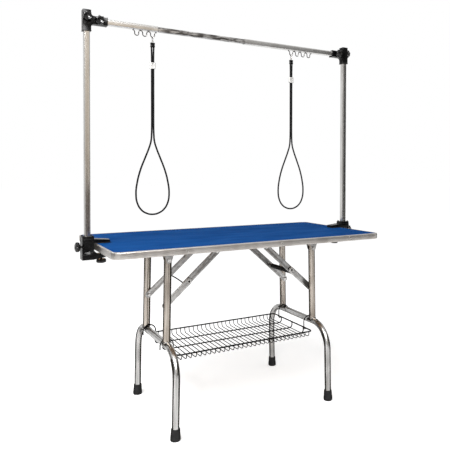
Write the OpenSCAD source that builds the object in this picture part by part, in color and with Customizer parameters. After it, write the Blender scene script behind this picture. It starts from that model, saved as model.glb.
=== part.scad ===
// Folding pet grooming table with a wire tray and an overhead arm on two end clamps.
// Millimetres, +Z up. The origin is on the floor under the middle of the table top.
// X runs along the table, -Y is the front. Each left piece is mirrored to make the right one.

/* [Table top] */
// Length of the table top over its trim
table_l = 1170; // [1050:10:1300]
// Width of the table top over its trim
table_w = 610; // [540:10:760]
// Height of the trim's top edge above the floor
table_h = 720; // [660:10:800]
// Corner radius of the table top
corner_r = 30; // [15:1:80]
// Thickness of the wooden board
board_t = 19; // [15:0.5:25]
// Thickness of the rubber mat
mat_t = 3; // [2:0.5:6]
// Sheet thickness of the edge trim
trim_t = 1.5; // [1:0.1:2.5]
// Width of the trim's lips over the mat and under the board
trim_lip = 9; // [5:1:14]
// Places of the rivet pairs along the front and rear trim
trim_rivet_x = [-324, 76, 417]; // [-450:1:450]
// Diameter of a trim rivet's head
trim_rivet_d = 5; // [4:0.5:7]
// Step from the first to the second rivet of a pair, along and down
trim_rivet_step = 7; // [6:0.5:9]

/* [Leg frames] */
// Distance from the table's middle to each leg pivot pin
leg_x = 334; // [300:1:360]
// Drop of the pivot pins below the trim
pin_drop = 44; // [38:1:60]
// Outward lean of the legs, in degrees
leg_splay = 1; // [0:0.1:2]
// Distance between the axes of a leg's two uprights
upright_gap = 260; // [230:2:300]
// Distance between the axes of a leg's two feet
foot_gap = 493; // [440:1:540]
// Outside diameter of the uprights
upright_d = 30; // [26:1:34]
// Outside diameter of the arch tube
arch_d = 28; // [24:1:29]
// Wall of the leg tubes
tube_wall = 1.5; // [1:0.1:2.5]
// Drop of the arch's crossbar below the pivot pin
arch_drop = 330; // [310:1:345]
// Bend radius of the arch tube, on its axis
arch_r = 100; // [80:1:100]
// Length of an upright above its pivot pin
upright_top = 18; // [14:1:22]
// Diameter of a foot at the floor
foot_d = 39; // [34:1:46]
// Diameter of a foot at its top
foot_top_d = 33; // [31:1:38]
// Height of a foot
foot_h = 45; // [35:1:60]
// Thickness of a foot's sole under the tube
foot_sole = 8; // [5:1:12]

/* [Leg brackets] */
// Sheet thickness of the brackets
bracket_t = 2.5; // [2:0.1:3]
// Length of a leg bracket's ear at the board
ear_l = 50; // [46:1:70]
// Radius of the ear's rounded tip
ear_r = 11; // [10:0.5:15]
// Width of the screw flange beside each ear
flange_w = 20; // [16:1:26]
// Diameter of the pivot pins
pin_d = 8; // [6:0.5:10]
// Diameter of the heads on pins and rivets
rivet_head_d = 14; // [12:0.5:15]
// Thickness of the heads on pins and rivets
rivet_head_t = 2.3; // [1.5:0.1:2.3]
// Shank diameter of the bracket screws
screw_d = 4.5; // [3.5:0.1:5]
// Head diameter of the bracket screws
screw_head_d = 9; // [7:0.5:10]
// Head height of the bracket screws
screw_head_t = 3; // [2:0.5:3.5]
// Depth of the bracket screws in the board
screw_depth = 12; // [8:0.5:14]

/* [Braces] */
// Distance from the leg pin inwards to the table pivot of the brace
brace_reach = 217; // [205:1:225]
// Drop of that pivot below the board
brace_hang = 31.5; // [26:0.5:34]
// Drop of the leg pivot of the brace below the leg pin
brace_drop = 181; // [172:1:190]
// Length of the lower link between its pivots
lower_link_l = 129; // [122:1:135]
// Width of the links
link_w = 26; // [18:1:28]
// Thickness of the links
link_t = 4; // [3:0.5:4]
// Length of the upper link past the middle pivot
link_tail = 18; // [14:1:22]
// Diameter of the release bar and its holes
release_d = 8; // [6:0.5:9]
// Diameter of the grip on the right release bar
grip_d = 21; // [16:1:24]
// Length of that grip
grip_l = 176; // [120:2:186]
// Diameter of the left release wire
release_wire_d = 5; // [4:0.5:6]
// Bow of the left release wire
release_bow = 22; // [14:1:24]

/* [Tray] */
// Length of the tray over its rim's axis
tray_l = 624; // [624:2:650]
// Width of the tray over its rim's axis
tray_w = 344; // [300:2:350]
// Drop of the rim's axis below the crossbars' axis
tray_drop = 34; // [32:0.5:60]
// Depth of the tray from the rim's axis to the cross wires' axis
tray_depth = 22; // [20:1:40]
// Corner radius of the rim
tray_corner_r = 18; // [16:1:32]
// Bend radius of the cross wires
tray_bend_r = 14; // [8:1:15]
// Diameter of the rim wire
rim_d = 6; // [4:0.5:6]
// Diameter of the lengthwise wires
long_wire_d = 5; // [3:0.5:6]
// Diameter of the cross wires
cross_wire_d = 3.5; // [2.5:0.5:4]
// Number of cross wires
cross_wires = 30; // [9:1:34]
// Distance from the middle wire to the outer lengthwise wires
long_wire_y = 98; // [60:1:100]
// Distance of the hooks from the tray's middle
hook_y = 112; // [106:1:116]
// Diameter of the hook wire
hook_d = 4.5; // [3:0.5:4.5]
// Clear width of a hook's bend over the crossbar
hook_bend_w = 49; // [48:1:52]
// Shift of the hooks' bend inwards from the crossbar's axis
hook_shift = 7; // [7:0.5:9]

/* [End clamps] */
// Length of a clamp's sleeve along the table
sleeve_l = 43; // [40:1:50]
// Width of a clamp
clamp_w = 42; // [38:1:56]
// Height of the sleeve above the table top
sleeve_up = 27; // [22:1:40]
// Depth of the sleeve below the table top
sleeve_down = 62; // [62:1:80]
// Reach of the upper jaw over the table
jaw_reach = 60; // [52:1:80]
// Thickness of the upper jaw
jaw_t = 11; // [8:1:14]
// Thickness of the jaw pad
jaw_pad_t = 3; // [2:0.5:5]
// Reach of the lower jaw under the table
lower_jaw_reach = 45; // [42:1:60]
// Clear height between the board and the lower jaw
lower_jaw_gap = 18.5; // [17:0.5:19]
// Thickness of the lower jaw at its tip
lower_jaw_t = 13; // [10:1:16]
// Distance of the clamp screw from the table's end
screw_reach = 29; // [26:1:30]
// Diameter of the clamp screw
clamp_screw_d = 10; // [8:0.5:12]
// Diameter of the pressure pad
pad_d = 26; // [20:1:30]
// Thickness of the pressure pad
pad_t = 6; // [5:0.5:6]
// Diameter of the knobs
knob_d = 39; // [32:1:40]
// Thickness of the knobs
knob_t = 16; // [12:1:18]
// Number of lobes on a knob
knob_lobes = 7; // [5:1:9]
// Diameter of the knobs' screws
knob_screw_d = 8; // [6:0.5:9]
// Diameter of the small bolts on the clamp
clamp_bolt_d = 7; // [5:0.5:7]

/* [Overhead arm] */
// Width of the square poles and outer bars
pole_w = 22; // [18:0.5:24]
// Wall of the square tubes
pole_wall = 1.5; // [1:0.1:2]
// Height of the bars' axis above the table top
bar_up = 847; // [820:1:1000]
// Distance from the middle of the arm to the left bar's inner end
left_bar_end = 334; // [280:1:334]
// Distance from the middle of the arm to the right bar's inner end
right_bar_end = 58; // [20:1:200]
// Length of the middle bar inside each outer bar
bar_overlap = 110; // [60:5:140]
// Outside width of the elbow's sleeves
elbow_w = 30; // [28:1:34]
// Height of the elbow above the bars' axis
elbow_up = 37; // [34:1:45]
// Depth of the elbow below the bars' axis
elbow_down = 43; // [36:1:60]
// Reach of the elbow along the bar, from the pole's axis
elbow_reach = 76; // [70:1:90]
// Closed end of the elbow above the pole and beyond the bar
elbow_cap = 8; // [5:1:12]
// Distance of the bar knob from the pole's axis
bar_knob_x = 45; // [42:1:52]
// Height of the left pole knob above the bars' axis
pole_knob_up = 10; // [0:1:12]
// Height of the right pole knob above the bars' axis
outer_knob_up = 10; // [0:1:14]

/* [Hook rails] */
// Diameter of the rail wire
rail_d = 4; // [3:0.5:5]
// Radius of the rail's waves, on the wire's axis
wave_r = 8; // [7:0.5:8]
// Straight run between the waves
wave_leg = 4; // [2:0.5:8]
// Place of the left rail's hanging wave
left_wave_x = -352; // [-360:1:-352]
// Number of waves in the left rail
left_waves = 3; // [1:1:4]
// Place of the right rail's hanging wave
right_wave_x = 303; // [290:1:320]
// Number of waves in the right rail
right_waves = 4; // [1:1:5]

/* [Nooses] */
// Diameter of the noose cord
cord_d = 7; // [5:0.5:7]
// Distance between the two strands' axes
strand_gap = 8.8; // [8.6:0.1:10]
// Diameter of the snap's ring wire
snap_wire_d = 3.4; // [3:0.2:3.6]
// Radius of the snap's ring, on the wire's axis
snap_ring_r = 7; // [6.5:0.5:8]
// Length of the snap's stem
snap_stem_l = 12; // [8:1:16]
// Height of the ferrule that holds the strands
ferrule_h = 18; // [14:1:24]
// Depth of the ferrule and the slider
ferrule_t = 10; // [9:0.5:14]
// Height of the slider
slider_h = 25; // [18:1:32]
// Width of the slider
slider_w = 23; // [21:1:28]
// Distance from the ferrule down to the slider
slider_drop = 62; // [40:1:90]

/* [Fits] */
// Radial clearance of pins and rivets in their holes
pin_clear = 0.05; // [0.03:0.01:0.1]
// Gap at welds, seats and sliding faces
seat_gap = 0.25; // [0.15:0.05:0.3]
// Gap on each side between a square tube and its sleeve
sleeve_clear = 0.2; // [0.1:0.05:0.3]
// Side gap between brackets, links and tubes that turn past each other
side_gap = 0.5; // [0.4:0.1:0.6]

/* [Hidden] */
$fn = 48;
left = -1;
right = 1;

// Heights of the table top's layers
trim_h = 2 * trim_t + mat_t + board_t;
trim_z = table_h - trim_h;
board_z = trim_z + trim_t;
mat_z = board_z + board_t;
pin_z = trim_z - pin_drop;

// Rows of the legs and links, as distances from the table's middle
upright_y = upright_gap / 2;
foot_y = foot_gap / 2;
upright_in = upright_y - upright_d / 2;
ear_in = upright_in - side_gap - bracket_t;
lower_link_y = ear_in - side_gap - link_t;
upper_link_y = lower_link_y - rivet_head_t - 2 * seat_gap - link_t;
brace_ear_y = upper_link_y - side_gap - bracket_t;

// Brace pivots of the left leg, in X and Z
leg_pivot = [-leg_x - sin(leg_splay) * brace_drop, pin_z - cos(leg_splay) * brace_drop];
table_pivot = [-leg_x + brace_reach, board_z - brace_hang];
brace_span = table_pivot - leg_pivot;
brace_angle = atan2(brace_span.y, brace_span.x);
upper_link_l = norm(brace_span) - lower_link_l;

// Leg length along the leaning axis, and the end of the tube in the foot
leg_len = pin_z / cos(leg_splay);
arch_end = leg_len - foot_sole;
floor_cut = 40;

// End clamps and poles, for the left end
end_x = -table_l / 2;
pole_x = end_x - sleeve_l / 2;
clamp_knob_z = (trim_z + table_h) / 2;
lower_jaw_z = board_z - lower_jaw_gap;
bar_z = table_h + bar_up;
inner_bar_w = pole_w - 2 * pole_wall - 2 * sleeve_clear;
screw_x = end_x + screw_reach;
clamp_knob_gap = 6;

// Hook rails and nooses
rail_top_z = bar_z - pole_w / 2 - seat_gap - rail_d / 2;
wave_z = rail_top_z - wave_r - wave_leg;
trough_z = wave_z - wave_r;
wave_pitch = 4 * wave_r;
ring_z = trough_z + rail_d / 2 + seat_gap - snap_ring_r + snap_wire_d / 2;
ferrule_z = ring_z - snap_ring_r - snap_stem_l - ferrule_h;
slider_z = ferrule_z - slider_drop - slider_h;

// Route of one strand below the ferrule: distance from the middle and height, down to the loop's lowest point
loop_points = [
    [7, 1116], [16, 1086], [32, 1046], [50, 1000], [63, 950],
    [68, 905], [63, 868], [47, 840], [25, 825],
];
loop_low = 820;
straight_end = 1146;
straight_steps = 9;

module tint(name) {
    colors = [
        ["steel", "#b9b3ab"], ["mat", "#1d4f9e"], ["wood", "#b08a5a"], ["black", "#1b1b1c"],
        ["wire", "#141414"], ["rubber", "#202022"], ["chrome", "#d7d7d6"], ["light", "#dcdcdc"],
    ];
    color(colors[search([name], colors)[0]][1])
        children();
}

// The left side as it stands, the right side mirrored
module on_side(side) {
    if (side == right)
        mirror([1, 0, 0])
            children();
    else
        children();
}

module both_rows() {
    children();
    mirror([0, 1, 0])
        children();
}

module both_sides() {
    on_side(left)
        children();
    on_side(right)
        children();
}

module rod_y(d, y0, y1) {
    translate([0, y0, 0])
        rotate([-90, 0, 0])
            cylinder(d = d, h = y1 - y0);
}

module rod_x(d, x0, x1) {
    translate([x0, 0, 0])
        rotate([0, 90, 0])
            cylinder(d = d, h = x1 - x0);
}

module rod_z(d, z0, z1) {
    translate([0, 0, z0])
        cylinder(d = d, h = z1 - z0);
}

module box(x0, x1, y0, y1, z0, z1) {
    translate([x0, y0, z0])
        cube([x1 - x0, y1 - y0, z1 - z0]);
}

// An arc of round wire in the XZ plane about the origin, from one angle to another
module wire_arc_xz(r, d, from, to) {
    rotate([90, 0, 0])
        rotate([0, 0, from])
            rotate_extrude(angle = to - from)
                translate([r, 0])
                    circle(d = d);
}

// An arc of round wire in the YZ plane about the origin
module wire_arc_yz(r, d, from, to) {
    rotate([0, 0, 90])
        wire_arc_xz(r, d, from, to);
}

module rounded_plate(l, w, r, h) {
    linear_extrude(h)
        union() {
            square([l - 2 * r, w], center = true);
            square([l, w - 2 * r], center = true);
            for (sx = [-1, 1], sy = [-1, 1])
                translate([sx * (l / 2 - r), sy * (w / 2 - r)])
                    circle(r);
        }
}

// Table top
board_inset = trim_t + seat_gap;
trim_rivet_shank = 0.6 * trim_rivet_d;
trim_rivet_depth = 10;
trim_rivet_head = 1.4;
trim_mid_z = trim_z + trim_h / 2;

// The table top's outline, set in by some distance and made this thick
module top_layer(inset, h) {
    rounded_plate(table_l - 2 * inset, table_w - 2 * inset, corner_r - inset, h);
}

module at_trim_rivets() {
    both_rows()
        for (x = trim_rivet_x, i = [0, 1])
            translate([x + i * trim_rivet_step, -table_w / 2, trim_mid_z + (0.5 - i) * trim_rivet_step])
                children();
}

module table_board() {
    tint("wood")
        difference() {
            translate([0, 0, board_z])
                top_layer(board_inset, board_t);
            at_trim_rivets()
                rod_y(trim_rivet_shank + 2 * pin_clear, 0, trim_rivet_depth + seat_gap);
            at_bracket_screws()
                rod_z(screw_d + 2 * pin_clear, -1, screw_depth + seat_gap);
        }
}

module rubber_mat() {
    tint("mat")
        translate([0, 0, mat_z])
            top_layer(board_inset, mat_t);
}

module edge_trim() {
    tint("steel")
        difference() {
            translate([0, 0, trim_z])
                top_layer(0, trim_h);
            translate([0, 0, board_z])
                top_layer(trim_t, trim_h - 2 * trim_t);
            translate([0, 0, trim_z - 1])
                top_layer(trim_lip, trim_h + 2);
            at_trim_rivets()
                rod_y(trim_rivet_shank + 2 * pin_clear, -1, trim_t + 1);
        }
}

module trim_rivets() {
    tint("chrome")
        at_trim_rivets() {
            rod_y(trim_rivet_d, -trim_rivet_head, 0);
            rod_y(trim_rivet_shank, -trim_rivet_head / 2, trim_rivet_depth);
        }
}

// Brackets under the board
ear_out = upright_y + upright_d / 2 + side_gap;
pin_hole_d = pin_d + 2 * pin_clear;
leg_plate_w = 2 * (upright_d / 2 + side_gap + bracket_t + flange_w);
leg_screw_x = ear_l / 2 - screw_head_d;
leg_screw_y = leg_plate_w / 2 - flange_w / 2;
brace_plate_w = 38;
brace_screw_y = brace_ear_y - brace_plate_w / 2;
brace_screw_x = 13;
brace_plate_l = 46;

module at_leg_screws() {
    for (sx = [-1, 1], sy = [-1, 1])
        translate([-leg_x + sx * leg_screw_x, -upright_y + sy * leg_screw_y, board_z])
            children();
}

module at_brace_screws() {
    for (sx = [-1, 1])
        translate([table_pivot.x + sx * brace_screw_x, -brace_screw_y, board_z])
            children();
}

module at_bracket_screws() {
    both_sides()
        both_rows() {
            at_leg_screws()
                children();
            at_brace_screws()
                children();
        }
}

// A hanging ear in the XZ plane, its hole at the origin and its root on the board
module ear(y0, root_l, root_z, hole_d) {
    translate([0, y0 + bracket_t, 0])
        rotate([90, 0, 0])
            linear_extrude(bracket_t)
                difference() {
                    union() {
                        circle(ear_r);
                        polygon([[-ear_r, 0], [ear_r, 0], [root_l / 2, root_z], [-root_l / 2, root_z]]);
                    }
                    circle(d = hole_d);
                }
}

module leg_bracket() {
    root_z = board_z - bracket_t - pin_z;
    translate([-leg_x, 0, pin_z]) {
        ear(-ear_out - bracket_t, ear_l, root_z, pin_hole_d);
        ear(-ear_in - bracket_t, ear_l, root_z, pin_hole_d);
    }
    difference() {
        translate([-leg_x - ear_l / 2, -upright_y - leg_plate_w / 2, board_z - bracket_t])
            cube([ear_l, leg_plate_w, bracket_t]);
        at_leg_screws()
            rod_z(screw_d + 2 * pin_clear, -bracket_t - 1, 1);
    }
}

module leg_brackets() {
    tint("steel")
        both_sides()
            both_rows()
                leg_bracket();
}

module leg_pins() {
    tint("chrome")
        both_sides()
            both_rows()
                translate([-leg_x, 0, pin_z]) {
                    rod_y(pin_d, -ear_out - bracket_t - rivet_head_t / 2, -ear_in + rivet_head_t / 2);
                    rod_y(rivet_head_d, -ear_out - bracket_t - rivet_head_t, -ear_out - bracket_t);
                    rod_y(rivet_head_d, -ear_in, -ear_in + rivet_head_t);
                }
}

module brace_bracket() {
    translate([table_pivot.x, 0, table_pivot.y])
        ear(-brace_ear_y - bracket_t, brace_plate_l, brace_hang - bracket_t, pin_hole_d);
    difference() {
        translate([table_pivot.x - brace_plate_l / 2, -brace_ear_y - bracket_t, board_z - bracket_t])
            cube([brace_plate_l, brace_plate_w + bracket_t, bracket_t]);
        at_brace_screws()
            rod_z(screw_d + 2 * pin_clear, -bracket_t - 1, 1);
    }
}

module brace_brackets() {
    tint("steel")
        both_sides()
            both_rows()
                brace_bracket();
}

// Rivets that hang the upper links on their brackets
module brace_rivets() {
    link_out = upper_link_y + link_t + seat_gap;
    tint("chrome")
        both_sides()
            both_rows()
                translate([table_pivot.x, 0, table_pivot.y]) {
                    rod_y(pin_d, -link_out - rivet_head_t / 2, -brace_ear_y + rivet_head_t / 2);
                    rod_y(rivet_head_d, -link_out - rivet_head_t, -link_out);
                    rod_y(rivet_head_d, -brace_ear_y, -brace_ear_y + rivet_head_t);
                }
}

module bracket_screws() {
    tint("chrome")
        at_bracket_screws()
            union() {
                rod_z(screw_head_d, -bracket_t - screw_head_t, -bracket_t);
                rod_z(screw_d, -bracket_t - screw_head_t / 2, screw_depth);
            }
}

// Leg frames, drawn about the pivot pin with the leg's axis along Z
module leg_frame(side) {
    on_side(side)
        translate([-leg_x, 0, pin_z])
            rotate([0, leg_splay, 0])
                children();
}

module uprights(side) {
    low = -arch_drop + arch_d / 4;
    tint("steel")
        leg_frame(side)
            both_rows()
                difference() {
                    translate([0, -upright_y, 0])
                        difference() {
                            rod_z(upright_d, low, upright_top);
                            rod_z(upright_d - 2 * tube_wall, low - 1, upright_top + 1);
                        }
                    rod_y(pin_hole_d, -ear_out, -ear_in);
                    translate([0, 0, -brace_drop])
                        rod_y(pin_hole_d, -upright_y, -ear_in);
                    translate([0, 0, -arch_drop])
                        rod_y(arch_d + 2 * seat_gap, -foot_y, 0);
                }
}

module arch_run(d, end) {
    straight = foot_y - arch_r;
    translate([0, 0, -arch_drop])
        rod_y(d, -straight, straight);
    both_rows() {
        translate([0, straight, -arch_drop - arch_r])
            wire_arc_yz(arch_r, d, 0, 90);
        translate([0, foot_y, 0])
            rod_z(d, -end, -arch_drop - arch_r);
    }
}

module leg_arch(side) {
    tint("steel")
        leg_frame(side)
            difference() {
                arch_run(arch_d, arch_end);
                arch_run(arch_d - 2 * tube_wall, arch_end + 1);
            }
}

module feet(side) {
    sole_z = -leg_len - 1;
    bore_r = arch_d / 2 + pin_clear;
    tint("rubber")
        difference() {
            leg_frame(side)
                both_rows()
                    translate([0, -foot_y, sole_z])
                        rotate_extrude()
                            polygon([
                                [0, 0], [foot_d / 2, 0], [foot_d / 2, foot_h / 4],
                                [foot_top_d / 2, foot_h / 2], [foot_top_d / 2, foot_h],
                                [bore_r, foot_h], [bore_r, foot_sole + 1], [0, foot_sole + 1]
                            ]);
            box(-table_l / 2, table_l / 2, -table_w / 2, table_w / 2, -floor_cut, 0);
        }
}

// Pivot rivets of the lower links, on the uprights
module leg_rivets(side) {
    washer_out = upright_in - seat_gap;
    washer_in = lower_link_y + link_t + seat_gap;
    tint("chrome")
        leg_frame(side)
            both_rows()
                translate([0, 0, -brace_drop]) {
                    rod_y(pin_d, -upright_in - 2 * tube_wall, -lower_link_y + rivet_head_t / 2);
                    rod_y(rivet_head_d, -washer_out, -washer_in);
                    rod_y(rivet_head_d, -lower_link_y + seat_gap, -lower_link_y + rivet_head_t);
                }
}

// Braces: both links lie on the line from the leg pivot to the table pivot
module link(length, tail, y0, holes) {
    translate([0, y0, 0])
        rotate([-90, 0, 0])
            linear_extrude(link_t)
                difference() {
                    union() {
                        translate([0, -link_w / 2])
                            square([length + tail, link_w]);
                        circle(d = link_w);
                        translate([length + tail, 0])
                            circle(d = link_w);
                    }
                    for (h = holes)
                        translate([h.x, 0])
                            circle(d = h.y + 2 * pin_clear);
                }
}

module from_table_pivot(side) {
    on_side(side)
        translate([table_pivot.x, 0, table_pivot.y])
            rotate([0, 180 - brace_angle, 0])
                children();
}

module from_leg_pivot(side) {
    on_side(side)
        translate([leg_pivot.x, 0, leg_pivot.y])
            rotate([0, -brace_angle, 0])
                children();
}

module upper_links(side) {
    handle_d = side == left ? release_wire_d : release_d;
    holes = [[0, pin_d], [upper_link_l, pin_d], [release_x, handle_d]];
    tint("steel")
        from_table_pivot(side)
            both_rows()
                link(upper_link_l, link_tail, -upper_link_y - link_t, holes);
}

module lower_links(side) {
    tint("steel")
        from_leg_pivot(side)
            both_rows()
                link(lower_link_l, 0, -lower_link_y - link_t, [[0, pin_d], [lower_link_l, pin_d]]);
}

// Middle rivets, carried by the lower links and ending short of the upper links
module link_rivets(side) {
    link_out = lower_link_y + link_t;
    tint("chrome")
        from_leg_pivot(side)
            both_rows()
                translate([lower_link_l, 0, 0]) {
                    rod_y(rivet_head_d, -link_out - rivet_head_t, -link_out);
                    rod_y(pin_d, -link_out - rivet_head_t / 2, -lower_link_y + rivet_head_t / 2);
                    rod_y(rivet_head_d, -lower_link_y, -lower_link_y + rivet_head_t);
                }
}

release_x = upper_link_l + link_tail;

module left_release_wire() {
    half_l = upper_link_y - release_wire_d / 2;
    bow_r = (half_l * half_l + release_bow * release_bow) / (2 * release_bow);
    half_angle = asin(half_l / bow_r);
    tint("wire")
        from_table_pivot(left)
            translate([release_x, 0, 0]) {
                translate([0, 0, bow_r - release_bow])
                    wire_arc_yz(bow_r, release_wire_d, 270 - half_angle, 270 + half_angle);
                both_rows()
                    rod_y(release_wire_d, -upper_link_y - link_t, -half_l);
            }
}

module right_release_bar() {
    tint("steel")
        from_table_pivot(right)
            translate([release_x, 0, 0]) {
                rod_y(release_d, -upper_link_y - link_t, upper_link_y + link_t);
                both_rows()
                    rod_y(rivet_head_d, -upper_link_y - link_t - rivet_head_t, -upper_link_y - link_t);
            }
}

module right_release_grip() {
    tint("black")
        from_table_pivot(right)
            translate([release_x, 0, 0])
                difference() {
                    rod_y(grip_d, -grip_l / 2, grip_l / 2);
                    rod_y(release_d + 2 * pin_clear, -grip_l, grip_l);
                }
}

// Wire tray, hung below the crossbars
bar_at = [-leg_x - sin(leg_splay) * arch_drop, pin_z - cos(leg_splay) * arch_drop];
// Nearest hundredth of a millimetre, so that wires placed in different ways meet exactly
function near(v) = round(100 * v) / 100;

tray_z = near(bar_at.y - tray_drop);
rim_x = tray_l / 2;
rim_y = tray_w / 2;
floor_z = tray_z - tray_depth;
wire_top = tray_z - rim_d / 2 - seat_gap;
long_z = floor_z - (cross_wire_d + long_wire_d) / 2 - seat_gap;
cross_pitch = (tray_l - 2 * tray_corner_r) / (cross_wires - 1);

module rim_ring() {
    both_rows() {
        translate([0, -rim_y, 0])
            rod_x(rim_d, -rim_x + tray_corner_r, rim_x - tray_corner_r);
        both_sides()
            translate([-rim_x + tray_corner_r, -rim_y + tray_corner_r, 0])
                rotate([0, 0, 180])
                    rotate_extrude(angle = 90)
                        translate([tray_corner_r, 0])
                            circle(d = rim_d);
    }
    both_sides()
        translate([-rim_x, 0, 0])
            rod_y(rim_d, -rim_y + tray_corner_r, rim_y - tray_corner_r);
}

module long_wire() {
    rise = tray_bend_r;
    rod_x(long_wire_d, -rim_x + rise, rim_x - rise);
    both_sides() {
        translate([-rim_x + rise, 0, rise])
            wire_arc_xz(rise, long_wire_d, 180, 270);
        translate([-rim_x, 0, 0])
            rod_z(long_wire_d, rise, wire_top - long_z);
    }
}

module tray_rim() {
    tint("wire") {
        translate([0, 0, tray_z])
            rim_ring();
        for (y = [-long_wire_y, 0, long_wire_y])
            translate([0, y, long_z])
                long_wire();
    }
}

module cross_wire() {
    r = tray_bend_r;
    rod_y(cross_wire_d, -rim_y + r, rim_y - r);
    both_rows() {
        translate([0, rim_y - r, r])
            wire_arc_yz(r, cross_wire_d, -90, 0);
        translate([0, rim_y, 0])
            rod_z(cross_wire_d, r, wire_top - floor_z);
    }
}

module tray_cross_wires() {
    tint("wire")
        for (i = [0 : cross_wires - 1])
            translate([-rim_x + tray_corner_r + i * cross_pitch, 0, floor_z])
                cross_wire();
}

// Tray hooks: a bend over the crossbar, a stem beside the rim and a foot that reaches under the rim
hook_r = (hook_bend_w + hook_d) / 2;
hook_bend_x = bar_at.x + hook_shift;
hook_stem_x = hook_bend_x + hook_r;
hook_room = hook_bend_w / 2 - arch_d / 2 - seat_gap;
hook_bend_z = near(bar_at.y - sqrt(hook_room * hook_room - hook_shift * hook_shift));
hook_foot_z = tray_z - rim_d / 2 - seat_gap - hook_d / 2;
hook_foot_l = abs(hook_stem_x + rim_x) + rim_d / 2;
hook_turn_r = 4;

// The foot points outwards, with the stem inside the rim, or inwards where the tray is shorter
module hook_foot() {
    mirror([hook_stem_x < -rim_x ? 1 : 0, 0, 0]) {
        translate([-hook_turn_r, 0, hook_turn_r])
            wire_arc_xz(hook_turn_r, hook_d, -90, 0);
        rod_x(hook_d, -hook_foot_l, -hook_turn_r);
    }
}

module tray_hooks(side) {
    tint("wire")
        on_side(side)
            both_rows()
                translate([0, -hook_y, 0]) {
                    translate([hook_bend_x, 0, hook_bend_z]) {
                        wire_arc_xz(hook_r, hook_d, 0, 180);
                        translate([-hook_r, 0, 0])
                            rod_z(hook_d, -arch_d / 2, 0);
                    }
                    translate([hook_stem_x, 0, 0])
                        rod_z(hook_d, hook_foot_z + hook_turn_r, hook_bend_z);
                    translate([hook_stem_x, 0, hook_foot_z])
                        hook_foot();
                }
}

// Knob with lobes about Z, its flat face at zero and its body below
module lobed_knob() {
    lobe_d = knob_d / 4;
    core_d = knob_d - lobe_d;
    rod_z(core_d, -knob_t, 0);
    for (i = [0 : knob_lobes - 1])
        rotate([0, 0, i * 360 / knob_lobes])
            translate([(knob_d - lobe_d) / 2, 0, 0])
                rod_z(lobe_d, -knob_t + knob_t / 8, -knob_t / 8);
}

// End clamps
module clamp_profile() {
    polygon([
        [-sleeve_l, sleeve_up], [0, sleeve_up], [jaw_t / 2, jaw_pad_t + jaw_t + jaw_t / 4],
        [jaw_reach, jaw_pad_t + jaw_t * 3 / 4], [jaw_reach, jaw_pad_t], [0, jaw_pad_t],
        [0, lower_jaw_z - table_h], [lower_jaw_reach, lower_jaw_z - table_h],
        [lower_jaw_reach, lower_jaw_z - table_h - lower_jaw_t], [jaw_t, -sleeve_down],
        [-sleeve_l, -sleeve_down]
    ]);
}

module clamp_body(side) {
    bore = pole_w / 2 + sleeve_clear;
    tint("black")
        on_side(side)
            difference() {
                translate([end_x, clamp_w / 2, table_h])
                    rotate([90, 0, 0])
                        linear_extrude(clamp_w)
                            clamp_profile();
                translate([pole_x, 0, table_h])
                    box(-bore, bore, -bore, bore, -sleeve_down - 1, sleeve_up + 1);
                translate([screw_x, 0, 0])
                    rod_z(clamp_screw_d + 2 * pin_clear, table_h - sleeve_down - 1, lower_jaw_z + 1);
                translate([0, 0, clamp_knob_z])
                    rod_x(knob_screw_d + 2 * pin_clear, end_x - sleeve_l - 1, pole_x);
                at_clamp_bolts()
                    rod_z(clamp_bolt_d / 2 + 2 * pin_clear, -clamp_bolt_depth - seat_gap, 1);
            }
}

clamp_screw_top = board_z - seat_gap - pad_t / 2;
clamp_knob_top = table_h - sleeve_down - seat_gap;

module clamp_screw(side) {
    tint("black")
        on_side(side)
            translate([screw_x, 0, 0]) {
                translate([0, 0, clamp_knob_top])
                    lobed_knob();
                rod_z(clamp_screw_d, clamp_knob_top - knob_t / 2, clamp_screw_top - seat_gap);
            }
}

module pressure_pad(side) {
    tint("rubber")
        on_side(side)
            translate([screw_x, 0, 0])
                difference() {
                    rod_z(pad_d, clamp_screw_top - pad_t / 2, clamp_screw_top + pad_t / 2);
                    rod_z(clamp_screw_d + 2 * pin_clear, clamp_screw_top - pad_t, clamp_screw_top);
                }
}

module clamp_knob(side) {
    tint("black")
        on_side(side)
            translate([end_x - sleeve_l - clamp_knob_gap, 0, clamp_knob_z]) {
                rotate([0, 90, 0])
                    lobed_knob();
                rod_x(knob_screw_d, -knob_t / 2, clamp_knob_gap + sleeve_l / 2 - pole_w / 2 - seat_gap);
            }
}

module jaw_pads() {
    tint("rubber")
        both_sides()
            box(end_x, end_x + jaw_reach, -clamp_w / 2, clamp_w / 2, table_h, table_h + jaw_pad_t);
}

clamp_bolt_depth = 12;
clamp_bolt_head = 4;

module at_clamp_bolts() {
    both_rows()
        for (sx = [-1, 1])
            translate([
                pole_x + sx * (sleeve_l + pole_w) / 4,
                -(clamp_w + pole_w) / 4,
                table_h + sleeve_up
            ])
                children();
}

module clamp_bolts() {
    tint("black")
        both_sides()
            at_clamp_bolts() {
                rod_z(clamp_bolt_d, 0, clamp_bolt_head);
                rod_z(clamp_bolt_d / 2, -clamp_bolt_depth, clamp_bolt_head / 2);
            }
}

// Overhead arm
pole_foot_z = table_h - sleeve_down + clamp_bolt_head;
pole_top_z = bar_z + elbow_up - elbow_cap;
bar_outer_x = pole_x + elbow_w / 2 + elbow_cap;

module square_tube(w, length) {
    linear_extrude(length)
        difference() {
            square(w, center = true);
            square(w - 2 * pole_wall, center = true);
        }
}

module pole(side) {
    tint("steel")
        on_side(side)
            translate([pole_x, 0, pole_foot_z])
                square_tube(pole_w, pole_top_z - pole_foot_z - seat_gap);
}

module bar_run(x0, x1, w) {
    tint("steel")
        translate([x0, 0, bar_z])
            rotate([0, 90, 0])
                square_tube(w, x1 - x0);
}

module left_bar() {
    bar_run(bar_outer_x + seat_gap, -left_bar_end, pole_w);
}

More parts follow.
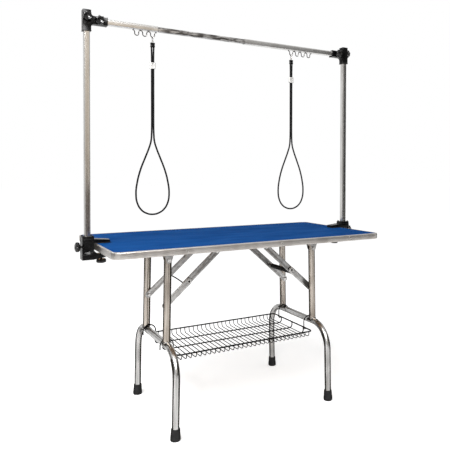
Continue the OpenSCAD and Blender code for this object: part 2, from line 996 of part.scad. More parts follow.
module right_bar() {
    bar_run(right_bar_end, -bar_outer_x - seat_gap, pole_w);
}

module middle_bar() {
    bar_run(-left_bar_end - bar_overlap, right_bar_end + bar_overlap, inner_bar_w);
}

module elbow(side) {
    w = elbow_w / 2;
    bore = pole_w / 2 + sleeve_clear;
    tint("black")
        on_side(side)
            translate([pole_x, 0, bar_z])
                difference() {
                    union() {
                        box(-w, w, -w, w, -elbow_down, elbow_up);
                        box(0, elbow_reach, -w, w, -w, w);
                    }
                    box(-bore, bore, -bore, bore, -elbow_down - 1, elbow_up - elbow_cap);
                    box(w + elbow_cap, elbow_reach + 1, -bore, bore, -bore, bore);
                    for (p = side == left ? elbow_knob_places : [elbow_knob_places[1]])
                        translate([p.x, 0, p.y])
                            rod_y(knob_screw_d + 2 * pin_clear, -w - 1, -bore + 1);
                    if (side == right)
                        translate([0, 0, outer_knob_up])
                            rod_x(knob_screw_d + 2 * pin_clear, -w - 1, -bore + 1);
                }
}

elbow_knob_places = [[0, pole_knob_up], [bar_knob_x, 0]];

// A knob on the elbow's front, its screw reaching the tube
module front_knob(place) {
    translate([pole_x + place.x, -elbow_w / 2 - seat_gap, bar_z + place.y]) {
        rotate([-90, 0, 0])
            lobed_knob();
        rod_y(knob_screw_d, -knob_t / 2, elbow_w / 2 - pole_w / 2);
    }
}

module elbow_knob(side, place) {
    tint("black")
        on_side(side)
            front_knob(place);
}

// The right pole's knob is on the elbow's outer face
module outer_knob() {
    tint("black")
        on_side(right)
            translate([pole_x - elbow_w / 2 - seat_gap, 0, bar_z + outer_knob_up]) {
                rotate([0, 90, 0])
                    lobed_knob();
                rod_x(knob_screw_d, -knob_t / 2, elbow_w / 2 - pole_w / 2);
            }
}

// Hook rails: waves of wire under the outer bars, seen from the front
module hook_rail(first_x, step, waves) {
    tint("chrome")
        translate([first_x, 0, 0]) {
            for (i = [0 : waves - 1])
                translate([i * step * wave_pitch, 0, 0]) {
                    translate([0, 0, wave_z])
                        wire_arc_xz(wave_r, rail_d, 180, 360);
                    for (sx = [-1, 1])
                        translate([sx * wave_r, 0, 0])
                            rod_z(rail_d, wave_z, wave_z + wave_leg);
                }
            for (i = [0 : waves - 2])
                translate([(i + 0.5) * step * wave_pitch, 0, wave_z + wave_leg])
                    wire_arc_xz(wave_r, rail_d, 0, 180);
            for (end = [-1, waves - 1])
                translate([(end + 0.5) * step * wave_pitch, 0, wave_z + wave_leg])
                    wire_arc_xz(wave_r, rail_d, end * step < 0 ? 0 : 90, end * step < 0 ? 90 : 180);
        }
}

// Nooses: two strands from a ferrule, through a slider, into one hanging loop
function mirrored(points) = [for (i = [len(points) - 1 : -1 : 0]) [-points[i].x, points[i].y]];

strand_x = strand_gap / 2;
strand_steps = [
    for (i = [0 : straight_steps])
        [strand_x, ferrule_z + (straight_end - ferrule_z) * i / straight_steps]
];
half_route = concat(strand_steps, loop_points);
noose_route = concat(half_route, [[0, loop_low]], mirrored(half_route));

// A tube of round section swept along points in the XZ plane
function route_dir(points, i) =
    let (d = points[min(i + 1, len(points) - 1)] - points[max(i - 1, 0)])
        d / norm(d);

function tube_ring(points, i, r, sides) =
    let (t = route_dir(points, i), n = [-t.y, t.x])
        [
            for (k = [0 : sides - 1])
                let (a = 360 * k / sides)
                    [points[i].x + r * cos(a) * n.x, r * sin(a), points[i].y + r * cos(a) * n.y]
        ];

module swept_tube(points, d, sides) {
    rings = len(points);
    skin = [for (i = [0 : rings - 1]) each tube_ring(points, i, d / 2, sides)];
    walls = [
        for (i = [0 : rings - 2], k = [0 : sides - 1])
            let (a = i * sides + k, b = i * sides + (k + 1) % sides)
                each [[a, b, b + sides], [a, b + sides, a + sides]]
    ];
    first = [for (k = [1 : sides - 2]) [0, k + 1, k]];
    base = (rings - 1) * sides;
    last = [for (k = [1 : sides - 2]) [base, base + k, base + k + 1]];
    polyhedron(skin, concat(walls, first, last));
}

module noose_cord(wave_x) {
    tint("rubber")
        translate([wave_x, 0, 0])
            swept_tube(noose_route, cord_d, 8);
}

module flat_block(w, z, h) {
    box(-w / 2, w / 2, -ferrule_t / 2, ferrule_t / 2, z, z + h);
}

module noose_slider(wave_x) {
    bore = cord_d + 4 * pin_clear;
    tint("light")
        translate([wave_x, 0, 0])
            difference() {
                flat_block(slider_w, slider_z, slider_h);
                for (sx = [-1, 1])
                    translate([sx * strand_x, 0, 0])
                        rod_z(bore, slider_z - 1, slider_z + slider_h + 1);
            }
}

module noose_snap(wave_x) {
    ferrule_w = strand_gap + cord_d + 2;
    tint("chrome")
        translate([wave_x, 0, 0]) {
            translate([0, 0, ring_z])
                wire_arc_yz(snap_ring_r, snap_wire_d, 0, 360);
            rod_z(snap_wire_d * 1.6, ferrule_z + ferrule_h / 2, ring_z - snap_ring_r);
            flat_block(ferrule_w, ferrule_z, ferrule_h);
        }
}

table_board();
rubber_mat();
edge_trim();
trim_rivets();
leg_brackets();
leg_pins();
brace_brackets();
brace_rivets();
bracket_screws();
uprights(left);  // left_uprights
leg_arch(left);  // left_leg_arch
feet(left);  // left_feet
tray_hooks(left);  // left_tray_hooks
leg_rivets(left);  // left_leg_rivets
uprights(right);  // right_uprights
leg_arch(right);  // right_leg_arch
feet(right);  // right_feet
tray_hooks(right);  // right_tray_hooks
leg_rivets(right);  // right_leg_rivets
upper_links(left);  // left_upper_links
lower_links(left);  // left_lower_links
link_rivets(left);  // left_link_rivets
left_release_wire();
upper_links(right);  // right_upper_links
lower_links(right);  // right_lower_links
link_rivets(right);  // right_link_rivets
right_release_bar();
right_release_grip();
tray_rim();
tray_cross_wires();
clamp_body(left);  // left_clamp_body
clamp_screw(left);  // left_clamp_screw
pressure_pad(left);  // left_pressure_pad
clamp_knob(left);  // left_clamp_knob
clamp_body(right);  // right_clamp_body
clamp_screw(right);  // right_clamp_screw
pressure_pad(right);  // right_pressure_pad
clamp_knob(right);  // right_clamp_knob
jaw_pads();
clamp_bolts();
pole(left);  // left_pole
elbow(left);  // left_elbow
elbow_knob(left, elbow_knob_places[0]);  // left_pole_knob
elbow_knob(left, elbow_knob_places[1]);  // left_bar_knob
left_bar();
hook_rail(left_wave_x, left, left_waves);  // left_hook_rail
pole(right);  // right_pole
elbow(right);  // right_elbow
outer_knob();  // right_pole_knob
elbow_knob(right, elbow_knob_places[1]);  // right_bar_knob
right_bar();
hook_rail(right_wave_x, right, right_waves);  // right_hook_rail
middle_bar();
noose_cord(left_wave_x);  // left_noose_cord
noose_slider(left_wave_x);  // left_noose_slider
noose_snap(left_wave_x);  // left_noose_snap
noose_cord(right_wave_x);  // right_noose_cord
noose_slider(right_wave_x);  // right_noose_slider
noose_snap(right_wave_x);  // right_noose_snap
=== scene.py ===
"""Looks of a folding grooming table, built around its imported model."""
import logging
import math
from dataclasses import dataclass
from enum import Enum
from itertools import product
from typing import Any, Callable, Sequence

import bpy
from mathutils import Matrix, Vector


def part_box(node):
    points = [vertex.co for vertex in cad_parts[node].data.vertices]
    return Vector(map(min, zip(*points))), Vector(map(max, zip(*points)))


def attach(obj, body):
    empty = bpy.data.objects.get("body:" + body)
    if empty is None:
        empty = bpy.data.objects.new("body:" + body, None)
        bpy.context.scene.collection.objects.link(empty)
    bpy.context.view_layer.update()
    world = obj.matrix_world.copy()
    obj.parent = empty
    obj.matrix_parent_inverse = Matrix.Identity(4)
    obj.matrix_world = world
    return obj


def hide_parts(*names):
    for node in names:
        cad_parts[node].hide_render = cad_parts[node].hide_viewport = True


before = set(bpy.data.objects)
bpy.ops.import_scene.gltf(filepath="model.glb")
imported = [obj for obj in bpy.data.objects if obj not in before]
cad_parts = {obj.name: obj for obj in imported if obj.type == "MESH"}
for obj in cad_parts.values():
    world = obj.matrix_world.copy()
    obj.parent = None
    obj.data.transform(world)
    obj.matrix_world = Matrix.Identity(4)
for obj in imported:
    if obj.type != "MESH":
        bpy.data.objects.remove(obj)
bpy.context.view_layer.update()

MM = 0.001
# Distance within which a picked point counts as lying on a plane
TOUCH = 0.1 * MM
# Part of a direction along an axis from which a picked face or edge counts as square or as flat to it
SQUARE = 0.9
FLAT = 0.99
FRONT, DOWN = (0, -1, 0), (0, 0, -1)
# Distances of uprights and feet from the table's middle line
UPRIGHT_Y, FOOT_Y = 130 * MM, 246.5 * MM
# Half the width of a bore for a pole or a bar, and the radius of a hole for a knob's screw
BORE, KNOB_HOLE = 11.2 * MM, 4.1 * MM
# Length of one wave of the wave texture at a scale of one
WAVE = math.pi / 10
log = logging.getLogger("grooming_table")

Point = Sequence[float]
Test = Callable[[Vector, Vector], bool]
Tree = bpy.types.NodeTree
Socket = bpy.types.NodeSocket
Pattern = tuple[Socket, Socket, Socket]


class Side(Enum):
    """End of the table, with the sign of its place along X."""

    LEFT = -1
    RIGHT = 1

    @property
    def word(self) -> str:
        """Name of the end, as the nodes spell it."""
        return self.name.lower()


class Pick(Enum):
    """What a selection is made of."""

    FACE = "FACE"
    EDGE = "EDGE"
    VERT = "VERT"


class Lay(Enum):
    """Direction of the drawing marks on a metal, whose streaks are partly painted reflection."""

    X = (1, 0, 0)
    Z = (0, 0, 1)
    ROUND = (1, 1, 0)


def linear(code: str) -> tuple[float, float, float, float]:
    """Turns an sRGB hex colour into linear RGBA.

    Args:
        code: Colour such as "#24579b".

    Returns:
        The linear colour with full alpha.
    """
    parts = [int(code[i:i + 2], 16) / 255 for i in (1, 3, 5)]
    red, green, blue = (p / 12.92 if p <= 0.04045 else ((p + 0.055) / 1.055) ** 2.4 for p in parts)
    return red, green, blue, 1.0


def add(tree: Tree, kind: str, links: dict[Any, Any] | None = None, **settings: Any) -> bpy.types.Node:
    """Adds a node with its settings, values and links.

    Args:
        tree: Node tree that gets the node.
        kind: Blender's type name of the node.
        links: Input name or number, and the value or the output socket that goes into it.
        **settings: Properties of the node.

    Returns:
        The new node.
    """
    node = tree.nodes.new(kind)
    for key, value in settings.items():
        setattr(node, key, value)
    for key, value in (links or {}).items():
        if isinstance(value, Socket):
            tree.links.new(value, node.inputs[key])
        else:
            node.inputs[key].default_value = value
    return node


def blank(name: str) -> tuple[bpy.types.Material, Tree]:
    """Makes a material with an empty node tree.

    Args:
        name: Name of the material.

    Returns:
        The material and its tree.
    """
    material = bpy.data.materials.new(name)
    material.use_nodes = True
    material.node_tree.nodes.clear()
    return material, material.node_tree


@dataclass(frozen=True)
class Finish:
    """A surface: its name, colours in sRGB hex, how it shines, and how far gloss and height vary."""

    name: str
    colour: str
    shade: str
    roughness: float
    metallic: float = 0.0
    specular: float = 0.5
    swing: float = 0.08
    depth: float = 0.03 * MM

    def pattern(self, tree: Tree) -> Pattern:
        """Draws colour, roughness and height, which each kind of finish does in its own way."""
        raise NotImplementedError

    def build(self) -> bpy.types.Material:
        """Makes the material.

        Returns:
            The material.
        """
        material, tree = blank(self.name)
        colour, rough, height = self.pattern(tree)
        bump = add(tree, "ShaderNodeBump", {"Height": height, "Distance": self.depth, "Strength": 1.0})
        span = add(tree, "ShaderNodeMapRange", {
            0: rough, 1: 0.25, 2: 0.75, 3: self.roughness - self.swing, 4: self.roughness + self.swing,
        })
        shader = add(tree, "ShaderNodeBsdfPrincipled", {
            "Base Color": colour,
            "Roughness": span.outputs[0],
            "Metallic": self.metallic,
            "Specular IOR Level": self.specular,
            "Normal": bump.outputs[0],
        })
        add(tree, "ShaderNodeOutputMaterial", {"Surface": shader.outputs[0]})
        material.diffuse_color = linear(self.colour)
        return material

    def grain(self, tree: Tree, size: Point, detail: float) -> Socket:
        """Adds noise on the object's own coordinates.

        Args:
            tree: Node tree of the material.
            size: Size of the grain along X, Y and Z in metres.
            detail: Octaves of the noise.

        Returns:
            The noise value.
        """
        place = add(tree, "ShaderNodeTexCoord")
        scaled = add(tree, "ShaderNodeMapping", {
            "Vector": place.outputs["Object"],
            "Scale": [1 / s for s in size],
        })
        noise = add(tree, "ShaderNodeTexNoise", {"Vector": scaled.outputs[0], "Scale": 1.0, "Detail": detail})
        return noise.outputs[0]

    def blend(self, tree: Tree, factor: Socket, span: Point, first: Any, second: str) -> Socket:
        """Mixes two colours over a span of a factor.

        Args:
            tree: Node tree of the material.
            factor: Value that decides the mix.
            span: Factors at which only the first and only the second colour shows.
            first: Hex colour or colour socket at the low end.
            second: Hex colour at the high end.

        Returns:
            The mixed colour.
        """
        low, high = span
        share = add(tree, "ShaderNodeMapRange", {0: factor, 1: low, 2: high}, interpolation_type="SMOOTHSTEP")
        start = linear(first) if isinstance(first, str) else first
        mix = add(tree, "ShaderNodeMix", {0: share.outputs[0], 6: start, 7: linear(second)}, data_type="RGBA")
        return mix.outputs[2]


@dataclass(frozen=True)
class DrawnSteel(Finish):
    """Polished steel tube or strip with drawing marks along it, drawn as streaks that are partly painted
    reflection, and patches of painted reflection.
    """

    swing: float = 0.05
    depth: float = 0.012 * MM
    lay: Lay = Lay.Z
    # Real drawing marks are finer than 0.1 mm; these are drawn coarser so that they show, and their dark
    # streaks are partly painted reflection
    mark: float = 1.6 * MM
    run: float = 160 * MM
    edge: tuple[float, float] = (0.42, 0.66)
    # Patches of painted reflection: their size across and along, and the span over which they blend in
    smoke: tuple[float, float] = (45 * MM, 110 * MM)
    painted_reflection_span: tuple[float, float] = (0.40, 0.75)

    def marks_and_reflections(self, tree: Tree) -> Socket:
        """Draws the streaks along the lay: drawing marks, partly painted reflection."""
        return self.grain(tree, [self.run if along else self.mark for along in self.lay.value], 4.0)

    def pattern(self, tree: Tree) -> Pattern:
        """Draws the streaks and the patches of painted reflection.

        Args:
            tree: Node tree of the material.

        Returns:
            The sockets that give colour, roughness and height.
        """
        marks_and_reflections = self.marks_and_reflections(tree)
        across, along = self.smoke
        smoke = self.grain(tree, [across, across, along], 2.0)
        base = self.blend(tree, marks_and_reflections, self.edge, self.colour, self.shade)
        return self.blend(tree, smoke, self.painted_reflection_span, base, self.shade), marks_and_reflections, marks_and_reflections


@dataclass(frozen=True)
class BentSteel(DrawnSteel):
    """The same steel on a tube that runs upright below a height and across above it."""

    # Larger patches of painted reflection on the bent tube
    smoke: tuple[float, float] = (60 * MM, 110 * MM)
    painted_reflection_span: tuple[float, float] = (0.42, 0.75)
    turn: tuple[float, float] = (225 * MM, 315 * MM)

    def marks_and_reflections(self, tree: Tree) -> Socket:
        """Draws the streaks along the bent tube: drawing marks, partly painted reflection.

        Args:
            tree: Node tree of the material.

        Returns:
            The streaks.
        """
        upright = self.grain(tree, [self.mark, self.mark, self.run], 4.0)
        across = self.grain(tree, [self.mark, self.run, self.mark], 4.0)
        place = add(tree, "ShaderNodeTexCoord")
        split = add(tree, "ShaderNodeSeparateXYZ", {0: place.outputs["Object"]})
        low, high = self.turn
        turn = add(tree, "ShaderNodeMapRange", {0: split.outputs[2], 1: low, 2: high})
        mix = add(tree, "ShaderNodeMix", {0: turn.outputs[0], 2: upright, 3: across}, data_type="FLOAT")
        return mix.outputs[0]


@dataclass(frozen=True)
class Speckled(Finish):
    """A moulded, coated or plated surface: cloudy tone and a fine grain that breaks the gloss."""

    cloud: float = 30 * MM
    # The grain of a moulding or a coat is 0.1 to 0.3 mm, and is drawn coarser so that it shows
    grit: float = 0.6 * MM
    tone: tuple[float, float] = (0.35, 0.70)

    def pattern(self, tree: Tree) -> Pattern:
        """Draws clouds and grit.

        Args:
            tree: Node tree of the material.

        Returns:
            The sockets that give colour, roughness and height.
        """
        clouds = self.grain(tree, [self.cloud] * 3, 3.0)
        grit = self.grain(tree, [self.grit] * 3, 2.0)
        return self.blend(tree, clouds, self.tone, self.colour, self.shade), clouds, grit


@dataclass(frozen=True)
class RibbedRubber(Finish):
    """Rubber sheet with fine lengthwise ribs, rubbed paler in patches."""

    depth: float = 0.10 * MM
    # Real ribs are about 1 mm apart, and are drawn coarser so that they show
    rib: float = 3.2 * MM
    cloud: tuple[float, float, float] = (220 * MM, 90 * MM, 90 * MM)
    tone: tuple[float, float] = (0.35, 0.72)
    fleck: float = 1.5 * MM
    wear: tuple[float, float] = (0.60, 0.80)
    rubbed: str = "#1b528f"

    def pattern(self, tree: Tree) -> Pattern:
        """Draws ribs, clouds and rubbed flecks.

        Args:
            tree: Node tree of the material.

        Returns:
            The sockets that give colour, roughness and height.
        """
        place = add(tree, "ShaderNodeTexCoord")
        ribs = add(tree, "ShaderNodeTexWave", {
            "Vector": place.outputs["Object"], "Scale": WAVE / self.rib, "Distortion": 0.0,
        }, wave_type="BANDS", bands_direction="Y", wave_profile="SIN")
        clouds = self.grain(tree, self.cloud, 4.0)
        flecks = self.grain(tree, [self.fleck] * 3, 2.0)
        tone = self.blend(tree, clouds, self.tone, self.colour, self.shade)
        return self.blend(tree, flecks, self.wear, tone, self.rubbed), clouds, ribs.outputs[1]


@dataclass(frozen=True)
class BraidedCord(Finish):
    """Black braid: two sets of yarns that cross at an angle."""

    depth: float = 0.35 * MM
    # Yarns of such a cord are about 0.8 mm wide, and are drawn coarser so that the braid shows
    yarn: float = 1.7 * MM
    slant: float = 0.75
    fuzz: float = 0.5 * MM
    tone: tuple[float, float] = (0.3, 0.95)

    def pattern(self, tree: Tree) -> Pattern:
        """Draws the crossing yarns and their fuzz.

        Args:
            tree: Node tree of the material.

        Returns:
            The sockets that give colour, roughness and height.
        """
        place = add(tree, "ShaderNodeTexCoord")
        waves = []
        for turn in (-self.slant, self.slant):
            turned = add(tree, "ShaderNodeMapping", {
                "Vector": place.outputs["Object"], "Rotation": (0.0, turn, 0.0),
            })
            waves.append(add(tree, "ShaderNodeTexWave", {
                "Vector": turned.outputs[0], "Scale": WAVE / self.yarn, "Distortion": 0.0,
            }, wave_type="BANDS", bands_direction="Z", wave_profile="SIN").outputs[1])
        weave = add(tree, "ShaderNodeMath", dict(enumerate(waves)), operation="MAXIMUM").outputs[0]
        fuzz = self.grain(tree, [self.fuzz] * 3, 2.0)
        return self.blend(tree, weave, self.tone, self.shade, self.colour), fuzz, weave


@dataclass(frozen=True)
class Plywood(Finish):
    """Plain plywood with its grain along the board."""

    depth: float = 0.08 * MM
    vein: tuple[float, float, float] = (260 * MM, 7 * MM, 1.4 * MM)
    tone: tuple[float, float] = (0.35, 0.66)
    pore: tuple[float, float, float] = (14 * MM, 0.8 * MM, 0.8 * MM)
    pore_span: tuple[float, float] = (0.62, 0.78)
    pore_colour: str = "#7d5b3a"

    def pattern(self, tree: Tree) -> Pattern:
        """Draws veins and pores.

        Args:
            tree: Node tree of the material.

        Returns:
            The sockets that give colour, roughness and height.
        """
        veins = self.grain(tree, self.vein, 5.0)
        pores = self.grain(tree, self.pore, 2.0)
        tone = self.blend(tree, veins, self.tone, self.colour, self.shade)
        return self.blend(tree, pores, self.pore_span, tone, self.pore_colour), veins, pores


class Palette:
    """All finishes of the table, made once."""

    def __init__(self) -> None:
        """Makes every material."""
        # Rubber sheet: deep blue, hardly any gloss, fine ribs along the table
        self.mat = RibbedRubber("rubber_sheet_blue", "#0f4887", "#0b3f7b", 0.80, specular=0.02).build()
        # Aluminium edging: satin, faintly warm grey, drawn along the edge all the way round, with faint
        # streaks and patches of painted reflection
        self.trim = DrawnSteel("aluminium_edging", "#bcb8b4", "#a19c97", 0.34, 1.0, lay=Lay.ROUND,
                               mark=1.4 * MM, run=260 * MM, depth=0.004 * MM).build()
        # Polished steel tube: warm grey, with brown streaks along the tube that are partly drawing marks and
        # partly painted reflection, and patches of painted reflection
        self.upright = DrawnSteel("steel_tube_upright", "#b2aaa1", "#857c73", 0.20, 1.0, mark=3.0 * MM,
                                  run=240 * MM).build()
        self.arch = BentSteel("steel_tube_bent", "#bcbbba", "#8f8e8c", 0.25, 1.0, mark=3.0 * MM,
                              run=240 * MM).build()
        # Arm tube: the same steel, paler and more even, with fainter streaks and patches of painted
        # reflection
        self.pole = DrawnSteel("steel_arm_upright", "#d4d3d1", "#bbb9b6", 0.16, 1.0, mark=4.0 * MM,
                               run=300 * MM, depth=0.004 * MM).build()
        self.bar = DrawnSteel("steel_arm_bar", "#d4d3d1", "#bfbdba", 0.18, 1.0, lay=Lay.X, mark=4.0 * MM,
                              run=300 * MM, depth=0.004 * MM).build()
        # Inner bar: steel with short dark grey patches along it, which are painted reflection
        self.inner_bar = DrawnSteel("steel_arm_inner", "#c9c7c5", "#565351", 0.22, 1.0, lay=Lay.X,
                                    mark=6.0 * MM, run=38 * MM, depth=0.01 * MM, edge=(0.44, 0.58)).build()
        # Pressed strip steel: satin grey with blurred marks
        self.strip = Speckled("pressed_strip_steel", "#b8b7b6", "#a3a2a0", 0.42, 1.0, cloud=18 * MM).build()
        # The same pressed steel, darker: painted shade for the brackets, the upper links and the weld beads
        self.strip_shaded = Speckled("pressed_strip_steel_shaded", "#9a9998", "#858483", 0.42, 1.0,
                                   cloud=18 * MM).build()
        # Bright plating: nearly clean, sharp gloss
        self.plated = Speckled("bright_plating", "#dcdad8", "#b5b2af", 0.14, 1.0, cloud=6 * MM,
                               depth=0.01 * MM, swing=0.05).build()
        # Drawn wire: plated, darkened to a mid grey as painted dark reflection
        self.wire = Speckled("plated_wire_painted_dark", "#6f6d6b", "#403e3d", 0.20, 1.0, cloud=5 * MM,
                             depth=0.01 * MM, swing=0.05).build()
        # Vulcanised rubber: charcoal, dull, a little dusty
        self.rubber = Speckled("vulcanised_rubber", "#1b1b1c", "#272728", 0.66, specular=0.20, cloud=12 * MM,
                               grit=0.9 * MM, depth=0.06 * MM).build()
        # Foam rubber grip: black, dull, fine pores
        self.foam = Speckled("foam_rubber_grip", "#101010", "#1b1b1c", 0.80, specular=0.15, cloud=8 * MM,
                             grit=0.7 * MM, depth=0.12 * MM).build()
        # Powder coat on wire: black with an orange-peel shine
        self.coat = Speckled("powder_coat_black", "#030303", "#070707", 0.45, specular=0.05, cloud=10 * MM,
                             grit=1.2 * MM, depth=0.05 * MM).build()
        # Glass-filled nylon: black, half gloss, faint moulding clouds
        self.nylon = Speckled("moulded_nylon_black", "#060607", "#0c0c0d", 0.27, specular=0.12, cloud=16 * MM,
                              grit=0.8 * MM, depth=0.02 * MM).build()
        # Phenolic knob: black, moulded to a high gloss
        self.knob = Speckled("phenolic_knob_black", "#040404", "#080809", 0.10, specular=0.36, cloud=9 * MM,
                             grit=0.9 * MM, depth=0.006 * MM, swing=0.03).build()
        # Blackened steel: dark oxide with grey rubs; in the rivets' sunk ends it is painted shade
        self.oxide_and_hollow_shade = Speckled("blackened_steel", "#2a2a2b", "#4a4845", 0.34, 1.0, cloud=4 * MM).build()
        # Moulded polypropylene: off-white
        self.white = Speckled("moulded_polypropylene", "#e6e5e2", "#d2d0cc", 0.42, cloud=7 * MM).build()
        # Braided polyester cord: black yarns that catch a little light
        self.cord = BraidedCord("braided_polyester_black", "#151516", "#050505", 0.66, specular=0.12).build()
        # Plywood underside
        self.wood = Plywood("plywood_birch", "#b48d62", "#9a744c", 0.60, specular=0.3).build()


def free_hands() -> None:
    """Leaves edit mode and deselects everything."""
    if bpy.context.object and bpy.context.object.mode != "OBJECT":
        bpy.ops.object.mode_set(mode="OBJECT")
    bpy.ops.object.select_all(action="DESELECT")


class Piece:
    """A mesh that is shaped with the modelling operators."""

    def __init__(self, name: str) -> None:
        """Takes the primitive that was just added.

        Args:
            name: Name of the piece.
        """
        self.obj = bpy.context.active_object
        self.obj.name = name
        self.obj.data.name = name
        bpy.ops.object.transform_apply(location=True, rotation=True, scale=True)

    @classmethod
    def block(cls, name: str, low: Point, high: Point) -> "Piece":
        """Starts from a box.

        Args:
            name: Name of the piece.
            low: Lowest corner in metres.
            high: Highest corner in metres.

        Returns:
            The piece.
        """
        free_hands()
        size = [b - a for a, b in zip(low, high)]
        middle = [(a + b) / 2 for a, b in zip(low, high)]
        bpy.ops.mesh.primitive_cube_add(size=1, location=middle, scale=size)
        return cls(name)

    @classmethod
    def disc(cls, name: str, radius: float, at: Point, sides: int) -> "Piece":
        """Starts from a filled circle about Z.

        Args:
            name: Name of the piece.
            radius: Radius in metres.
            at: Centre in metres.
            sides: Number of sides.

        Returns:
            The piece.
        """
        free_hands()
        bpy.ops.mesh.primitive_circle_add(vertices=sides, radius=radius, fill_type="NGON", location=at)
        return cls(name)

    @classmethod
    def ring(cls, name: str, major: float, minor: float, at: Point, steps: tuple[int, int],
             turn: Point = (0, 0, 0)) -> "Piece":
        """Starts from a torus.

        Args:
            name: Name of the piece.
            major: Radius of the ring's axis in metres.
            minor: Radius of its section in metres.
            at: Centre in metres.
            steps: Segments around the ring and around its section.
            turn: Euler turn in radians.

        Returns:
            The piece.
        """
        free_hands()
        bpy.ops.mesh.primitive_torus_add(major_radius=major, minor_radius=minor, location=at, rotation=turn,
                                         major_segments=steps[0], minor_segments=steps[1])
        return cls(name)

    @classmethod
    def trace(cls, node: str) -> "Piece":
        """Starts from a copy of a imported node, merged and with its flat faces made whole.

        Args:
            node: Name of the node.

        Returns:
            The piece.
        """
        free_hands()
        copied = bpy.data.objects.new(node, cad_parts[node].data.copy())
        bpy.context.scene.collection.objects.link(copied)
        copied.select_set(True)
        bpy.context.view_layer.objects.active = copied
        piece = cls(f"{node}_dressed")
        bpy.ops.mesh.customdata_custom_splitnormals_clear()
        bpy.ops.object.mode_set(mode="EDIT")
        bpy.ops.mesh.select_all(action="SELECT")
        bpy.ops.mesh.remove_doubles(threshold=1e-5)
        bpy.ops.mesh.dissolve_limited(angle_limit=math.radians(0.5))
        bpy.ops.object.mode_set(mode="OBJECT")
        return piece

    def hold(self) -> None:
        """Makes this the only selected object."""
        free_hands()
        self.obj.select_set(True)
        bpy.context.view_layer.objects.active = self.obj

    def pick(self, kind: Pick, test: Test) -> "Piece":
        """Selects faces, edges or vertices in edit mode.

        Args:
            kind: What is selected.
            test: Gets the place and the normal, or the direction of an edge, and says whether it is taken.

        Returns:
            The piece.
        """
        self.hold()
        bpy.ops.object.mode_set(mode="EDIT")
        bpy.ops.mesh.select_mode(type=kind.value)
        bpy.ops.mesh.select_all(action="DESELECT")
        bpy.ops.object.mode_set(mode="OBJECT")
        mesh = self.obj.data
        if kind is Pick.FACE:
            for face in mesh.polygons:
                face.select = test(face.center, face.normal)
        elif kind is Pick.EDGE:
            for edge in mesh.edges:
                a, b = (mesh.vertices[i].co for i in edge.vertices)
                edge.select = test((a + b) / 2, (b - a).normalized())
        else:
            for vert in mesh.vertices:
                vert.select = test(vert.co, vert.normal)
        bpy.ops.object.mode_set(mode="EDIT")
        return self

    def pick_faces(self) -> "Piece":
        """Selects every face in edit mode."""
        return self.pick(Pick.FACE, lambda c, n: True)

    def cut(self, at: Point, normal: Point) -> "Piece":
        """Cuts all faces along a plane.

        Args:
            at: A point of the plane in metres.
            normal: Normal of the plane.

        Returns:
            The piece.
        """
        self.hold()
        bpy.ops.object.mode_set(mode="EDIT")
        bpy.ops.mesh.select_all(action="SELECT")
        bpy.ops.mesh.bisect(plane_co=at, plane_no=normal)
        return self

    def extrude(self, step: Point) -> "Piece":
        """Extrudes the selection by a step in metres."""
        bpy.ops.mesh.extrude_region_move(TRANSFORM_OT_translate={"value": step})
        return self

    def move(self, step: Point) -> "Piece":
        """Moves the selection by a step in metres."""
        bpy.ops.transform.translate(value=step)
        return self

    def grow(self, factor: Point, about: Point) -> "Piece":
        """Scales the selection about a point."""
        bpy.ops.transform.resize(value=factor, center_override=about)
        return self

    def inset(self, rim: float, depth: float = 0.0) -> "Piece":
        """Insets the selected faces by a rim and moves them by a depth, both in metres."""
        bpy.ops.mesh.inset(thickness=rim, depth=depth, use_even_offset=True)
        return self

    def bevel(self, width: float, steps: int) -> "Piece":
        """Bevels the selected edges to a width in metres, with so many segments across."""
        bpy.ops.mesh.bevel(offset=width, segments=steps, affect="EDGES")
        return self

    def stack(self, steps: Sequence[tuple[float, float]], lean: float = 0.0) -> "Piece":
        """Builds a turned form from the selected cap upwards.

        Args:
            steps: Rise in metres and growth of the cap for each ring.
            lean: Drift along X for each metre of rise.

        Returns:
            The piece.
        """
        for rise, growth in steps:
            self.extrude((rise * lean, 0, rise)).grow((growth, growth, 1), self.cap_centre())
        return self

    def cap_centre(self) -> tuple[float, float, float]:
        """Finds the middle of the selected vertices.

        Returns:
            The middle in metres.
        """
        self.obj.update_from_editmode()
        chosen = [v.co for v in self.obj.data.vertices if v.select]
        return tuple(sum(c[i] for c in chosen) / len(chosen) for i in range(3))

    def soften(self, width: float, steps: int = 2, angle: float = 30.0) -> "Piece":
        """Rounds all edges that turn more than an angle.

        Args:
            width: Width of the rounding in metres.
            steps: Segments across it.
            angle: Least turn of an edge in degrees.

        Returns:
            The piece.
        """
        self.hold()
        modifier = self.obj.modifiers.new("edges", "BEVEL")
        modifier.width, modifier.segments = width, steps
        modifier.limit_method, modifier.angle_limit = "ANGLE", math.radians(angle)
        modifier.use_clamp_overlap = True
        bpy.ops.object.modifier_apply(modifier=modifier.name)
        return self

    def sheet(self, thickness: float) -> "Piece":
        """Deletes the selected faces and gives the open shell a thickness inwards.

        Args:
            thickness: Thickness of the sheet in metres.

        Returns:
            The piece.
        """
        bpy.ops.mesh.delete(type="FACE")
        self.outward()
        modifier = self.obj.modifiers.new("sheet", "SOLIDIFY")
        modifier.thickness, modifier.offset, modifier.use_even_offset = thickness, -1.0, True
        bpy.ops.object.modifier_apply(modifier=modifier.name)
        return self

    def dye(self, index: int) -> "Piece":
        """Gives the selected faces another of the piece's materials.

        Args:
            index: Number of the material.

        Returns:
            The piece.
        """
        self.obj.active_material_index = index
        bpy.ops.object.material_slot_assign()
        return self

    def tunnel(self) -> "Piece":
        """Opens a passage between the two selected faces."""
        bpy.ops.mesh.bridge_edge_loops()
        return self

